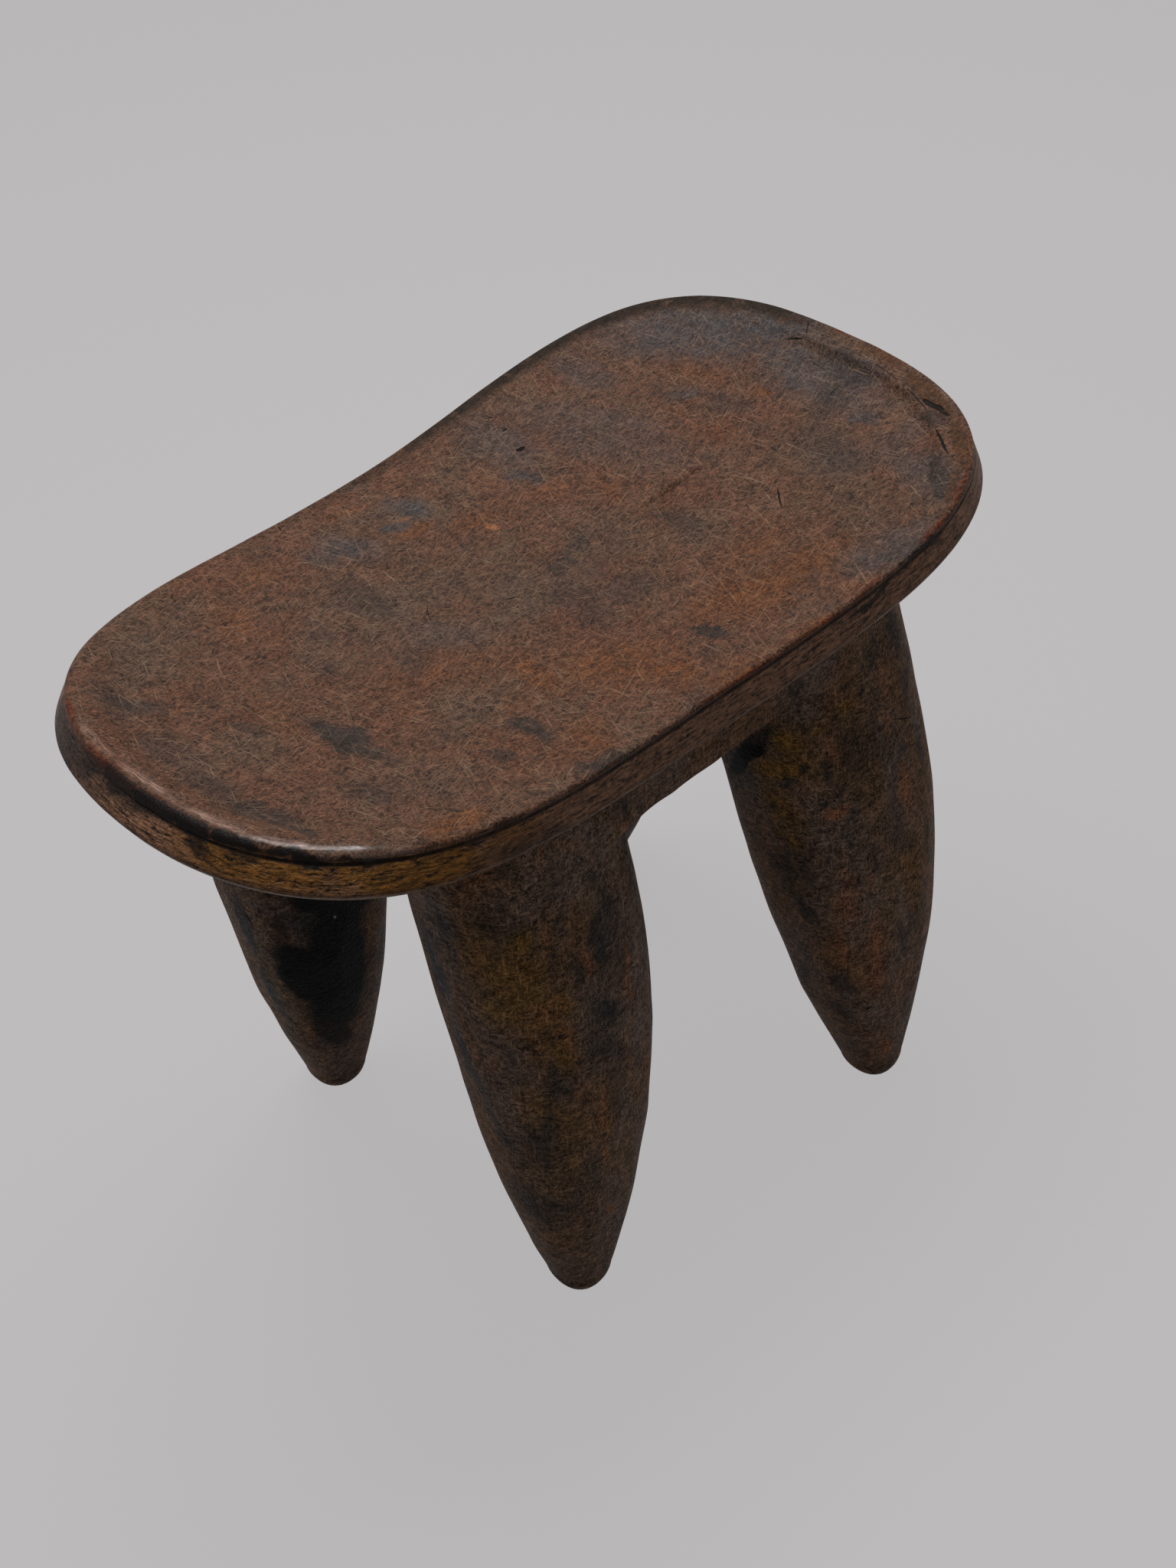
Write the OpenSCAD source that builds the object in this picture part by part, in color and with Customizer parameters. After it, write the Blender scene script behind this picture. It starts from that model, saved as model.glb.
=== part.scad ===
// Low stool carved from one log: a saddle-shaped seat, the carved block under it and four splayed legs.
// X runs along the seat, Y across it, Z up. The origin is on the floor under the middle of the seat.
// The pieces meet face to face at the steps that the carver left, so no peg or glue joins them.

/* [Seat] */
// Length of the seat along its top edge, end to end
seat_length = 458; // [430:1:500]
// Width of the seat along its top edge, across the middle
seat_width = 249; // [225:1:275]
// Height of the long edges above the floor, at the middle of the seat
seat_height = 358; // [320:1:420]
// Thickness of the slab
slab_thickness = 21; // [14:0.5:28]
// How far the left end rises above the middle
left_rise = 25.5; // [10:1:40]
// How far the right end rises above the middle
right_rise = 23; // [10:1:40]
// How far each long side would spread towards the ends if the corners did not round in
side_swell = 54.5; // [25:1:60]
// How much the right end is wider than the left end, on each side
right_extra = 4.5; // [0:0.5:8]
// Squareness of the front left corner: 2 is an ellipse, more is squarer
front_left_squareness = 2.1; // [2:0.05:3.5]
// Squareness of the front right corner
front_right_squareness = 2.6; // [2:0.05:3.5]
// Squareness of the back left corner
back_left_squareness = 2.2; // [2:0.05:3.5]
// Squareness of the back right corner
back_right_squareness = 2.7; // [2:0.05:3.5]
// How far the slab's side leans out between its top edge and its lower edge
side_lean = 4; // [0:0.5:8]
// How much further the left end's side leans in towards its top, as it was cut square to the rising slab
left_lean = 5.5; // [0:0.5:8]
// Radius of the worn top edge
edge_radius = 2.5; // [1:0.5:4]
// Radius of the slab's lower edge
lower_radius = 4; // [2:0.5:6]
// Width of the raised lip at each end
lip_width = 15; // [10:1:24]
// Height of the raised lip above the dish, at each end
lip_height = 4.5; // [1:0.5:8]
// Depth of the shallow dish across the middle of the seat
dish_depth = 2; // [0:0.5:5]
// Size of the slow waves that the adze left in the outline
waver = 1; // [0:0.1:1.5]

/* [Block under the seat] */
// Length of the block along the seat
block_length = 320; // [290:1:330]
// How far the block's long sides stand back from the slab's lower edge
block_inset = 5.5; // [5:0.5:20]
// Height of the block, from the seat's land to the tops of the legs
block_height = 22; // [16:1:36]
// Bevel round the block's lower edge
block_bevel = 3; // [1:0.5:6]
// Depth of the land that the seat keeps below the slab's lowest line, to seat on the block
land_depth = 2; // [1:0.5:6]
// Squareness of the block's outline
block_squareness = 7; // [5:0.5:9]

/* [Legs] */
// Size of a leg's top along the seat
leg_top_length = 104.5; // [90:1:125]
// Size of a leg's top across the seat
leg_top_width = 83.5; // [60:1:95]
// Width of a leg just above its rounded foot
foot_width = 35; // [22:1:44]
// Width of the flat that a foot stands on
foot_flat = 18; // [12:1:26]
// Height of the rounded part of a foot
foot_round = 11; // [6:1:16]
// Distance from the seat's centre to the feet, along the seat
foot_reach_x = 104; // [90:1:125]
// Distance from the seat's centre to the feet, across the seat
foot_reach_y = 106; // [85:1:125]
// How fast a leg swells above its foot: 1 is a straight cone, more is fuller
leg_fullness = 2.9; // [1.5:0.1:3.5]
// How far a leg's middle swells out past the line from foot to top
leg_belly = 1.5; // [0:0.5:8]
// Squareness of a leg's section: 2 is an ellipse
leg_squareness = 2.3; // [2:0.1:3]

/* [Front left leg] */
// How far hand carving shifted the foot towards the right
front_left_shift_x = 10.5; // [0:0.5:22]
// How far it shifted the foot towards the back
front_left_shift_y = 6.5; // [-15:0.5:15]
// How far the leg's top stands in from the block's end
front_left_top_in = 14; // [0:0.5:18]
// How far the middle of the leg bows towards the right
front_left_bow = 7.5; // [0:0.5:14]
// Extra radius of the leg's top
front_left_extra = 0; // [-6:0.5:6]

/* [Front right leg] */
// How far hand carving shifted the foot towards the right
front_right_shift_x = 17.5; // [0:0.5:22]
// How far it shifted the foot towards the back
front_right_shift_y = -12.5; // [-15:0.5:15]
// How far the leg's top stands in from the block's end
front_right_top_in = 0; // [0:0.5:18]
// How far the middle of the leg bows towards the right
front_right_bow = 6.5; // [0:0.5:14]
// Extra radius of the leg's top
front_right_extra = 2.5; // [-6:0.5:6]

/* [Back left leg] */
// How far hand carving shifted the foot towards the right
back_left_shift_x = 10.5; // [0:0.5:22]
// How far it shifted the foot towards the back
back_left_shift_y = -4; // [-15:0.5:15]
// How far the leg's top stands in from the block's end
back_left_top_in = 3; // [0:0.5:18]
// How far the middle of the leg bows towards the right
back_left_bow = 4.5; // [0:0.5:14]
// Extra radius of the leg's top
back_left_extra = -4.5; // [-6:0.5:6]

/* [Back right leg] */
// How far hand carving shifted the foot towards the right
back_right_shift_x = 21; // [0:0.5:22]
// How far it shifted the foot towards the back
back_right_shift_y = 5; // [-15:0.5:15]
// How far the leg's top stands in from the block's end
back_right_top_in = 0; // [0:0.5:18]
// How far the middle of the leg bows towards the right
back_right_bow = 12; // [0:0.5:14]
// Extra radius of the leg's top
back_right_extra = 6; // [-6:0.5:6]

/* [Hidden] */

// Each leg: its side in X and in Y, then its own sizes in the order above
FRONT_LEFT = [-1, -1, front_left_shift_x, front_left_shift_y, front_left_top_in, front_left_bow,
              front_left_extra];
FRONT_RIGHT = [1, -1, front_right_shift_x, front_right_shift_y, front_right_top_in, front_right_bow,
               front_right_extra];
BACK_LEFT = [-1, 1, back_left_shift_x, back_left_shift_y, back_left_top_in, back_left_bow,
             back_left_extra];
BACK_RIGHT = [1, 1, back_right_shift_x, back_right_shift_y, back_right_top_in, back_right_bow,
              back_right_extra];

// Slow waves in the seat's outline: waves round the seat, then shares of the waver along cosine and sine
WAVES = [[2, 1, 0.8], [3, -0.8, -0.6], [4, 0.9, -0.2], [5, 0.8, 0]];

// Points round a seat or block ring, and round a leg ring
SEAT_SIDES = 96;
LEG_SIDES = 40;
LEG_RINGS = 14;
EDGE_STEPS = 3;
FOOT_STEPS = 4;
// Rings across the seat's top: shares of the lip's width, then shares of the way to the seat's spine
LIP_SHARES = [0.3, 0.45, 0.6, 0.8, 1];
DISH_SHARES = [0.25, 0.45, 0.68, 0.9];
// The lip fades to nothing between these shares of the half length
LIP_FADE = [0.45, 0.9];
// Share of the lip's width that stays level, as its crest
LIP_CREST = 0.3;
// The left end's extra lean fades round to the back: how much of it goes, and where, as sines
BACK_FADE = 0.5;
BACK_FADE_FROM = -0.2;
BACK_FADE_TO = 0.9;
// Share of the side's lean reached halfway down it
HALF_LEAN = 0.45;
// How far the lower edge's radius draws the underside in, as a share of that radius
LOWER_DRAW = 0.6;
// How much closer together the rings lie towards a foot's flat and towards a leg's lower end: 1 is even
FOOT_SPACING = 1.5;
LEG_SPACING = 1.4;

half_length = seat_length / 2;
land_z = seat_height - slab_thickness - land_depth;
leg_top_z = land_z - block_height;
block_half_length = block_length / 2;
block_half_width = seat_width / 2 + side_lean - block_inset;
// The outer faces of the legs' tops are flush with the block's lower outline
leg_top_edge = [block_half_length - block_bevel, block_half_width - block_bevel];

// A smooth step from 0 at a to 1 at b
function ease(a, b, v) = let (s = min(max((v - a) / (b - a), 0), 1)) s * s * (3 - 2 * s);

// Cosine or sine raised so that a circle becomes a rounder or squarer oval
function squared(v, power) = sign(v) * pow(abs(v), 2 / power);

// How high the saddle stands above the middle of the seat
function saddle(x) = (x < 0 ? left_rise : right_rise) * pow(x / half_length, 2);

// Squareness of the outline at angle t, shared out between the four corners
function corner_power(t) = let (r = (1 + cos(t)) / 2, b = (1 + sin(t)) / 2)
    b * (r * back_right_squareness + (1 - r) * back_left_squareness)
    + (1 - b) * (r * front_right_squareness + (1 - r) * front_left_squareness);

// How far the waves push the outline out at angle t
function wave(t, k = 0) = k == len(WAVES) ? 0 :
    waver * (WAVES[k][1] * cos(WAVES[k][0] * t) + WAVES[k][2] * sin(WAVES[k][0] * t)) + wave(t, k + 1);

// A point on the seat's outline at angle t, moved inwards by inset
function outline(t, inset) = let (
    power = corner_power(t),
    x = (half_length - inset) * squared(cos(t), power),
    u = x / half_length,
    half_width = seat_width / 2 + side_swell * u * u + right_extra * u - inset,
    y = half_width * squared(sin(t), power),
    out = wave(t) * (1 - inset / (seat_width / 2))
) [x + out * cos(t), y + out * sin(t)];

// How far the left end's extra lean draws a ring in at angle t
function extra_lean(t) = left_lean * ease(LIP_FADE[0], LIP_FADE[1], -outline(t, 0).x / half_length)
    * (1 - BACK_FADE * ease(BACK_FADE_FROM, BACK_FADE_TO, sin(t)));

// A ring of the seat, at a height below the saddle, with a share of the left end's extra lean
function seat_ring(inset, drop, lean = 0) = [
    for (i = [0 : SEAT_SIDES - 1])
        let (t = 360 * i / SEAT_SIDES, p = outline(t, inset + lean * extra_lean(t)))
        [p.x, p.y, seat_height + saddle(p.x) - drop]
];

// A ring of the seat's top, with the lip at both ends and the dish between them
function top_ring(inset, lean = 1) = [
    for (i = [0 : SEAT_SIDES - 1])
        let (
            t = 360 * i / SEAT_SIDES,
            p = outline(t, inset + lean * extra_lean(t)),
            end = ease(LIP_FADE[0], LIP_FADE[1], abs(p.x) / (half_length - inset)),
            lip = lip_height * end * ease(LIP_CREST, 1, inset / lip_width),
            dish = dish_depth * ease(0, 1, inset / (seat_width / 2))
        )
        [p.x, p.y, seat_height + saddle(p.x) - lip - dish]
];

// A flat ring round the block, moved inwards by inset
function block_ring(inset, z) = [
    for (i = [0 : SEAT_SIDES - 1])
        let (t = 360 * i / SEAT_SIDES)
        [(block_half_length - inset) * squared(cos(t), block_squareness),
         (block_half_width - inset) * squared(sin(t), block_squareness), z]
];

// The block's outline carried up to the underside of the slab
function land_ring() = [
    for (p = block_ring(0, 0)) [p.x, p.y, seat_height + saddle(p.x) - slab_thickness]
];

// Halfway between the slab's lower edge and the land
function middle_ring(a, b) = [
    for (i = [0 : len(a) - 1])
        let (p = (a[i] + b[i]) / 2)
        [p.x, p.y, seat_height + saddle(p.x) - slab_thickness]
];

// Where a leg's foot stands
function foot_centre(leg) = [leg[0] * foot_reach_x + leg[2], leg[1] * foot_reach_y + leg[3]];

// A ring of a leg at a share h of the way from its foot to its top
function leg_ring(leg, h) = let (
    swell = 1 - pow(1 - h, leg_fullness),
    top_rx = leg_top_length / 2 + leg[6],
    top_ry = leg_top_width / 2 + leg[6],
    foot = foot_centre(leg),
    top = [leg[0] * (leg_top_edge.x - top_rx - leg[4]), leg[1] * (leg_top_edge.y - top_ry)],
    centre = foot + (top - foot) * h + [leg[5] * sin(180 * h), 0],
    belly = leg_belly * sin(180 * h),
    rx = foot_width / 2 + (top_rx - foot_width / 2) * swell + belly,
    ry = foot_width / 2 + (top_ry - foot_width / 2) * swell + belly,
    z = foot_round + (leg_top_z - foot_round) * h
) [
    for (i = [0 : LEG_SIDES - 1])
        let (t = 360 * i / LEG_SIDES)
        [centre.x + rx * squared(cos(t), leg_squareness),
         centre.y + ry * squared(sin(t), leg_squareness), z]
];

// A ring of the rounded end of a foot, at a share s of its height. The leg's taper runs on through it.
function foot_ring(leg, s) = let (
    foot = foot_centre(leg),
    h = foot_round * (s - 1) / (leg_top_z - foot_round),
    swell = 1 - pow(1 - h, leg_fullness),
    round = sqrt(1 - pow(1 - s, 2)),
    rx = foot_width / 2 + (leg_top_length / 2 + leg[6] - foot_width / 2) * swell,
    ry = foot_width / 2 + (leg_top_width / 2 + leg[6] - foot_width / 2) * swell
) [
    for (i = [0 : LEG_SIDES - 1])
        let (t = 360 * i / LEG_SIDES)
        [foot.x + (foot_flat / 2 + (rx - foot_flat / 2) * round) * squared(cos(t), leg_squareness),
         foot.y + (foot_flat / 2 + (ry - foot_flat / 2) * round) * squared(sin(t), leg_squareness),
         foot_round * s]
];

// Triangles that close a ring whose height follows x only, in strips across it
function strip_cap(first, n) = concat(
    [for (i = [1 : n / 2 - 1]) [first + i, first + n - i, first + n - i - 1]],
    [for (i = [0 : n / 2 - 2]) [first + i, first + n - i - 1, first + i + 1]]
);

// Skins a stack of rings of n points each. The first ring is flat, and so is the last unless curved is true.
module loft(rings, curved = false) {
    n = len(rings[0]);
    last = (len(rings) - 1) * n;
    sides = [
        for (r = [0 : len(rings) - 2], i = [0 : n - 1])
            let (p = r * n + i, q = r * n + (i + 1) % n)
            each [[p, p + n, q + n], [p, q + n, q]]
    ];
    bottom = [[for (i = [0 : n - 1]) i]];
    top = curved ? strip_cap(last, n) : [[for (i = [n - 1 : -1 : 0]) last + i]];
    polyhedron(points = [for (ring = rings) each ring], faces = concat(sides, bottom, top));
}

// The slab with its lips, saddle and leaning side, and the land below it that seats on the block
module seat() {
    foot_of_side = seat_ring(lower_radius * LOWER_DRAW - side_lean, slab_thickness);
    land = land_ring();
    edge = [
        for (k = [1 : EDGE_STEPS])
            let (a = 90 * k / EDGE_STEPS)
            seat_ring(edge_radius * (1 - cos(a)), edge_radius * (1 - sin(a)), 1)
    ];
    spine = seat_width / 2;
    color([0.25, 0.14, 0.09])
        loft(concat(
            [block_ring(0, land_z), land, middle_ring(land, foot_of_side), foot_of_side],
            [seat_ring(-side_lean, slab_thickness - lower_radius)],
            [seat_ring(-side_lean * HALF_LEAN, (slab_thickness + edge_radius) / 2, HALF_LEAN)],
            [seat_ring(0, edge_radius, 1)],
            edge,
            [for (s = LIP_SHARES) top_ring(lip_width * s)],
            [for (s = DISH_SHARES) top_ring(lip_width + (spine - lip_width) * s, 1 - s)]
        ), curved = true);
}

// The step carved under the slab, which the legs grow out of
module under_seat_block() {
    color([0.2, 0.12, 0.08])
        loft([
            block_ring(block_bevel, leg_top_z),
            block_ring(0, leg_top_z + block_bevel),
            block_ring(0, land_z)
        ]);
}

// One leg: a blunt rounded foot that swells into a broad oval top, flush with the block's sides
module leg(leg) {
    color([0.16, 0.1, 0.07])
        loft(concat(
            [for (k = [0 : FOOT_STEPS - 1]) foot_ring(leg, pow(k / FOOT_STEPS, FOOT_SPACING))],
            [for (k = [0 : LEG_RINGS]) leg_ring(leg, pow(k / LEG_RINGS, LEG_SPACING))]
        ));
}

module leg_front_left() {
    leg(FRONT_LEFT);
}

module leg_front_right() {
    leg(FRONT_RIGHT);
}

module leg_back_left() {
    leg(BACK_LEFT);
}

module leg_back_right() {
    leg(BACK_RIGHT);
}

seat();
under_seat_block();
leg_front_left();
leg_front_right();
leg_back_left();
leg_back_right();
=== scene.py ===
# %% [markdown]
# # A carved stool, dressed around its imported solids
# The real stool is cut from one log: a saddle-shaped seat, a block under it and four fat, splayed legs.
# The solids from the CAD model come in as a fixed frame. They are smooth, as a drawing is. This lesson
# makes the carver's version of them: edges rolled by wear, a line cut under the rim, soft hollows at the
# tops of the legs, tool marks, and wood that has been oiled, handled and smoked for decades.

# %% Load the frame
import math

import bmesh
import bpy
import numpy as np
from mathutils import Matrix, Vector
from mathutils.bvhtree import BVHTree


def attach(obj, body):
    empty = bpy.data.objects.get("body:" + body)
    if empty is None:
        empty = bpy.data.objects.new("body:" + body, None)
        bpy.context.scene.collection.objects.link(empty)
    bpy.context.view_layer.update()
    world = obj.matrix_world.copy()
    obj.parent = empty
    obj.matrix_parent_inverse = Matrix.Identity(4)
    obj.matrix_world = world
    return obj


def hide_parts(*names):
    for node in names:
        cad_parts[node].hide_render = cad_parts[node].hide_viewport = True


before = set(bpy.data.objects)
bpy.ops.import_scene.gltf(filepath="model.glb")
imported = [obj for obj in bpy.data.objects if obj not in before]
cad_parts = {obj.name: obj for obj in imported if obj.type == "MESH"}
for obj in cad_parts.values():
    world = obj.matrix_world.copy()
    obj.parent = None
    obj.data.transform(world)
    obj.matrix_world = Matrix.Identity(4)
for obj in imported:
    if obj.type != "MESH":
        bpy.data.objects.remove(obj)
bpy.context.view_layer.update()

MM = 0.001
scene = bpy.context.scene


def show(name, data):
    """A new object in the scene."""
    made = bpy.data.objects.new(name, data)
    scene.collection.objects.link(made)
    return made


# %% [markdown]
# # The camera
# A photograph fixes the camera as well as the object. Azimuth, elevation, roll and focal length were solved
# from the stool's outline, so the same wood falls on the same part of the picture. Blender's lens is in
# millimetres on a 36 mm sensor along the longer side, which is the height here.

# %% Camera at the photograph's viewpoint
PHOTO_W, PHOTO_H = 1536, 2048
FOCAL_PX = 2907.43
SENSOR = 36
AZIMUTH, ELEVATION, ROLL = (math.radians(v) for v in (-41.61, 42.84, -4.47))
CAMERA_AT = Vector((-0.53674, -0.63533, 0.99350))

back = Vector((
    math.sin(AZIMUTH) * math.cos(ELEVATION),
    -math.cos(AZIMUTH) * math.cos(ELEVATION),
    math.sin(ELEVATION),
))
level_right = Vector((math.cos(AZIMUTH), math.sin(AZIMUTH), 0))
level_up = back.cross(level_right)
right = level_right * math.cos(ROLL) + level_up * math.sin(ROLL)
up = level_up * math.cos(ROLL) - level_right * math.sin(ROLL)

camera = show("camera", bpy.data.cameras.new("camera"))
camera.data.sensor_width = SENSOR
camera.data.lens = FOCAL_PX * SENSOR / PHOTO_H
camera.matrix_world = Matrix.Translation(CAMERA_AT) @ Matrix((right, up, back)).transposed().to_4x4()
scene.camera = camera
print("lens, mm:", round(camera.data.lens, 2))


def sight_line(px, py):
    """The direction from the camera through a pixel of the photograph."""
    across = (px - PHOTO_W / 2) / FOCAL_PX
    down = (py - PHOTO_H / 2) / FOCAL_PX
    return (right * across - up * down - back).normalized()


# %% [markdown]
# # One way to add a node
# Both the shapes and the finishes are node trees. One small function adds a node of any kind: settings are
# its options, and values are its inputs, given as numbers, as sockets, or as nodes whose first output is
# meant. Sums are the most common node, so a kind in capitals, such as MULTIPLY, means a Math node.

# %% Helpers for nodes and colours
def add(tree, kind, values=(), **settings):
    """Adds one node with its settings, and fills or links its inputs by place or by name."""
    if kind.isupper():
        kind, settings = "ShaderNodeMath", {"operation": kind, **settings}
    node = tree.nodes.new(kind)
    for name, value in settings.items():
        setattr(node, name, value)
    for key, value in values.items() if isinstance(values, dict) else enumerate(values):
        if isinstance(value, bpy.types.Node):
            value = value.outputs[0]
        if isinstance(value, bpy.types.NodeSocket):
            tree.links.new(value, node.inputs[key])
        elif value is not None:
            node.inputs[key].default_value = value
    return node


def linear(hex_colour):
    """An sRGB hex colour as the linear red, green, blue and alpha that Blender works in."""
    parts = [int(hex_colour[i:i + 2], 16) / 255 for i in (1, 3, 5)]
    return tuple(p / 12.92 if p <= 0.04045 else ((p + 0.055) / 1.055) ** 2.4 for p in parts) + (1.0,)


VECTOR = "ShaderNodeVectorMath"
NOISE = "ShaderNodeTexNoise"
# its inputs by place: value, from min, from max, to min, to max
MAP = "ShaderNodeMapRange"

# %% [markdown]
# # Sizes of the seat
# These are the sizes of the CAD seat in millimetres, written again because the scene reads only the packed
# solids. The outline is an oval whose squareness differs at each corner, widened towards the ends.

# %% Seat sizes, mm
SEAT_LENGTH, SEAT_WIDTH, SEAT_HEIGHT, SLAB = 458, 249, 358, 21
LEFT_RISE, RIGHT_RISE = 25.5, 23
SIDE_SWELL, RIGHT_EXTRA = 54.5, 4.5
SQUARENESS = {"front_left": 2.1, "front_right": 2.6, "back_left": 2.2, "back_right": 2.7}
SIDE_LEAN, END_LEAN = 4, 5.5
EDGE_RADIUS, LEFT_WEAR, RIGHT_WEAR = 2.5, 2.6, 0.9
LIP_HEIGHT, DISH = 4.5, 2
WAVES = ((2, 1, 0.8), (3, -0.8, -0.6), (4, 0.9, -0.2), (5, 0.8, 0))
HALF_LENGTH, HALF_WIDTH = SEAT_LENGTH / 2, SEAT_WIDTH / 2
print("seat before its swell and waves:", SEAT_LENGTH, "x", SEAT_WIDTH, "x", SLAB, "mm")


def ease(a, b, value):
    """A smooth step from 0 at a to 1 at b."""
    s = np.clip((value - a) / (b - a), 0, 1)
    return s * s * (3 - 2 * s)


def saddle(x):
    """How high the saddle stands above the middle of the seat."""
    return np.where(x < 0, LEFT_RISE, RIGHT_RISE) * (x / HALF_LENGTH) ** 2


def outline(t, inset):
    """Points of the seat's outline at the angles t, moved inwards by inset."""
    to_right, to_back = (1 + np.cos(t)) / 2, (1 + np.sin(t)) / 2
    at_back = to_right * SQUARENESS["back_right"] + (1 - to_right) * SQUARENESS["back_left"]
    at_front = to_right * SQUARENESS["front_right"] + (1 - to_right) * SQUARENESS["front_left"]
    power = to_back * at_back + (1 - to_back) * at_front
    x = (HALF_LENGTH - inset) * np.sign(np.cos(t)) * np.abs(np.cos(t)) ** (2 / power)
    u = x / HALF_LENGTH
    half_width = HALF_WIDTH + SIDE_SWELL * u * u + RIGHT_EXTRA * u - inset
    y = half_width * np.sign(np.sin(t)) * np.abs(np.sin(t)) ** (2 / power)
    out = sum(c * np.cos(k * t) + s * np.sin(k * t) for k, c, s in WAVES) * (1 - inset / HALF_WIDTH)
    return x + out * np.cos(t), y + out * np.sin(t)


# %% [markdown]
# # Even steps round the rim
# An oval drawn by angle bunches its points at the corners. The rim is measured first, and the angles are
# chosen so that the points lie the same distance apart. Every ring of the seat then uses these angles.

# %% Points round the rim
AROUND = 640
fine = np.linspace(0, 2 * math.pi, 6001)
fx, fy = outline(fine, 0 * fine)
walked = np.concatenate([[0], np.cumsum(np.hypot(np.diff(fx), np.diff(fy)))])
RIM_LENGTH = walked[-1]
t = np.interp(np.arange(AROUND) * RIM_LENGTH / AROUND, walked, fine)
rim_x, _ = outline(t, 0 * t)
left_end = ease(0.42, 0.92, -rim_x / HALF_LENGTH)
right_end = ease(0.42, 0.92, rim_x / HALF_LENGTH)
print(f"rim {RIM_LENGTH:.0f} mm round, a point every {RIM_LENGTH / AROUND:.2f} mm")


def ripple(size, seed):
    """Slow random waves round the rim, from -1 to 1, about size mm long."""
    draw = np.random.RandomState(seed)
    count = RIM_LENGTH / size
    terms = [np.sin(round(count * f) * t + draw.uniform(0, 6.28)) for f in (0.6, 1, 1.45, 2.2)]
    return sum(terms) / 2.6


# %% [markdown]
# # The seat, ring by ring
# The slab is a loft: rings that start at the middle of the underside, run out to the lower edge, climb the
# leaning side, roll over the rim and run in across the top to the seat's spine. A loft keeps an edge exactly
# where wear has left it, which a sculpted or remeshed slab would blur. The left rim is worn round and
# overhangs a thin cut line; the right rim keeps a lip with a clear inner crease that softens to the back.

# %% Build the rings
radius = EDGE_RADIUS + LEFT_WEAR * left_end + RIGHT_WEAR * right_end
# the left end is cut square to the rising slab, so its side leans in further; the back has lost most of that
LEAN_LOST = 0.85
end_lean = END_LEAN * left_end * (1 - LEAN_LOST * ease(-0.2, 0.7, np.sin(t)))
# the cut line under the rim runs along the front and fades out round both ends
cut_share = ease(0.25 + 0.35 * right_end, -0.15 + 0.25 * right_end, np.sin(t))
rings, bands = [], []


def ring(inset, drop, band, squeeze=1.0):
    """Adds a ring: drop is its depth below the saddle, band its distance along the profile from the rim."""
    inset = inset + 0 * t
    x, y = outline(t, inset)
    middle = (x + np.roll(x[::-1], 1)) / 2
    x = x * squeeze + middle * (1 - squeeze)
    rings.append(np.stack([x, y * squeeze, SEAT_HEIGHT + saddle(x) - drop], 1))
    bands.append(band + 0 * t)


# the underside, from its middle out to the lower edge, which is a small bevel
UNDER_STEPS = (124.5, 108, 90, 72, 56, 42, 30, 20, 12, 6, 2, 0)
BEVEL, UNDER_BAND, SIDE_BAND = 2.4, 18.5, 15
SIDE_TOP = SLAB - 3.4
for squeeze in (0, 0.35, 0.7):
    ring(HALF_WIDTH, SLAB, 140, squeeze)
for inset in UNDER_STEPS:
    ring(inset - SIDE_LEAN + BEVEL, SLAB, UNDER_BAND + inset)
for inset, drop, band in ((1.2, SLAB - 0.5, 18), (0.15, SLAB - 2.6, 16), (0, SIDE_TOP, SIDE_BAND)):
    ring(inset - SIDE_LEAN, drop, band)

# the side leans in as it climbs, and the cut line lies below the rim's roll: its depth and the overhang of
# the roll in mm, and what each gains at the left end
CUT_DEPTH, CUT_LEFT, OVERHANG, OVERHANG_LEFT = 0.5, 1.1, 0.15, 0.9
line_depth = (CUT_DEPTH + CUT_LEFT * left_end + 0.2 * ripple(30, 3)) * (0.75 + 0.35 * ripple(14, 5))
line_depth = np.maximum(line_depth, 0.05) * (1 - 0.5 * right_end) * cut_share
overhang = (OVERHANG_LEFT * left_end + OVERHANG) * cut_share
LINE_AT, LINE_WIDTH = 1.2, 0.45
# places on the side count from 0 at the roll to 13 at the bevel
SIDE_FOOT = 13
for below in (11, 8.5, 6.2, 4.6, 3.4, 2.6, 2.2, 1.9, 1.6, 1.35, 1.05, 0.8, 0.5, 0.2):
    drop = radius + below * (SIDE_TOP - radius) / SIDE_FOOT
    share = (drop - radius) / (SIDE_TOP - radius)
    lean = -SIDE_LEAN * share + end_lean * (1 - share) ** 1.5
    cut = line_depth * np.exp(-((below - LINE_AT) / LINE_WIDTH) ** 2)
    ring(lean + cut - overhang * ease(2.1, 0.9, below), drop, below)
ROLL_STEPS, ROLL_BAND = 8, 4
for k in range(ROLL_STEPS + 1):
    a = math.pi / 2 * k / ROLL_STEPS
    roll = radius * (1 - math.cos(a)) - overhang * math.cos(a) + end_lean
    ring(roll, radius * (1 - math.sin(a)), -ROLL_BAND * k / ROLL_STEPS)

# the top: lip, dish, and the last rings that close up on the spine
LIP_STEPS = (0.6, 1.3, 2.1, 3, 4, 5, 6, 7, 8, 9, 10, 11, 12, 13, 14.2, 15.6, 17.2, 19)
TOP_STEPS = np.linspace(21, HALF_WIDTH - 14, 52)
LIP_CREST_LEFT, LIP_FOOT_LEFT, LIP_CREST_RIGHT, LIP_FOOT_RIGHT = 1.5, 19, 9.5, 15.5
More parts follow.
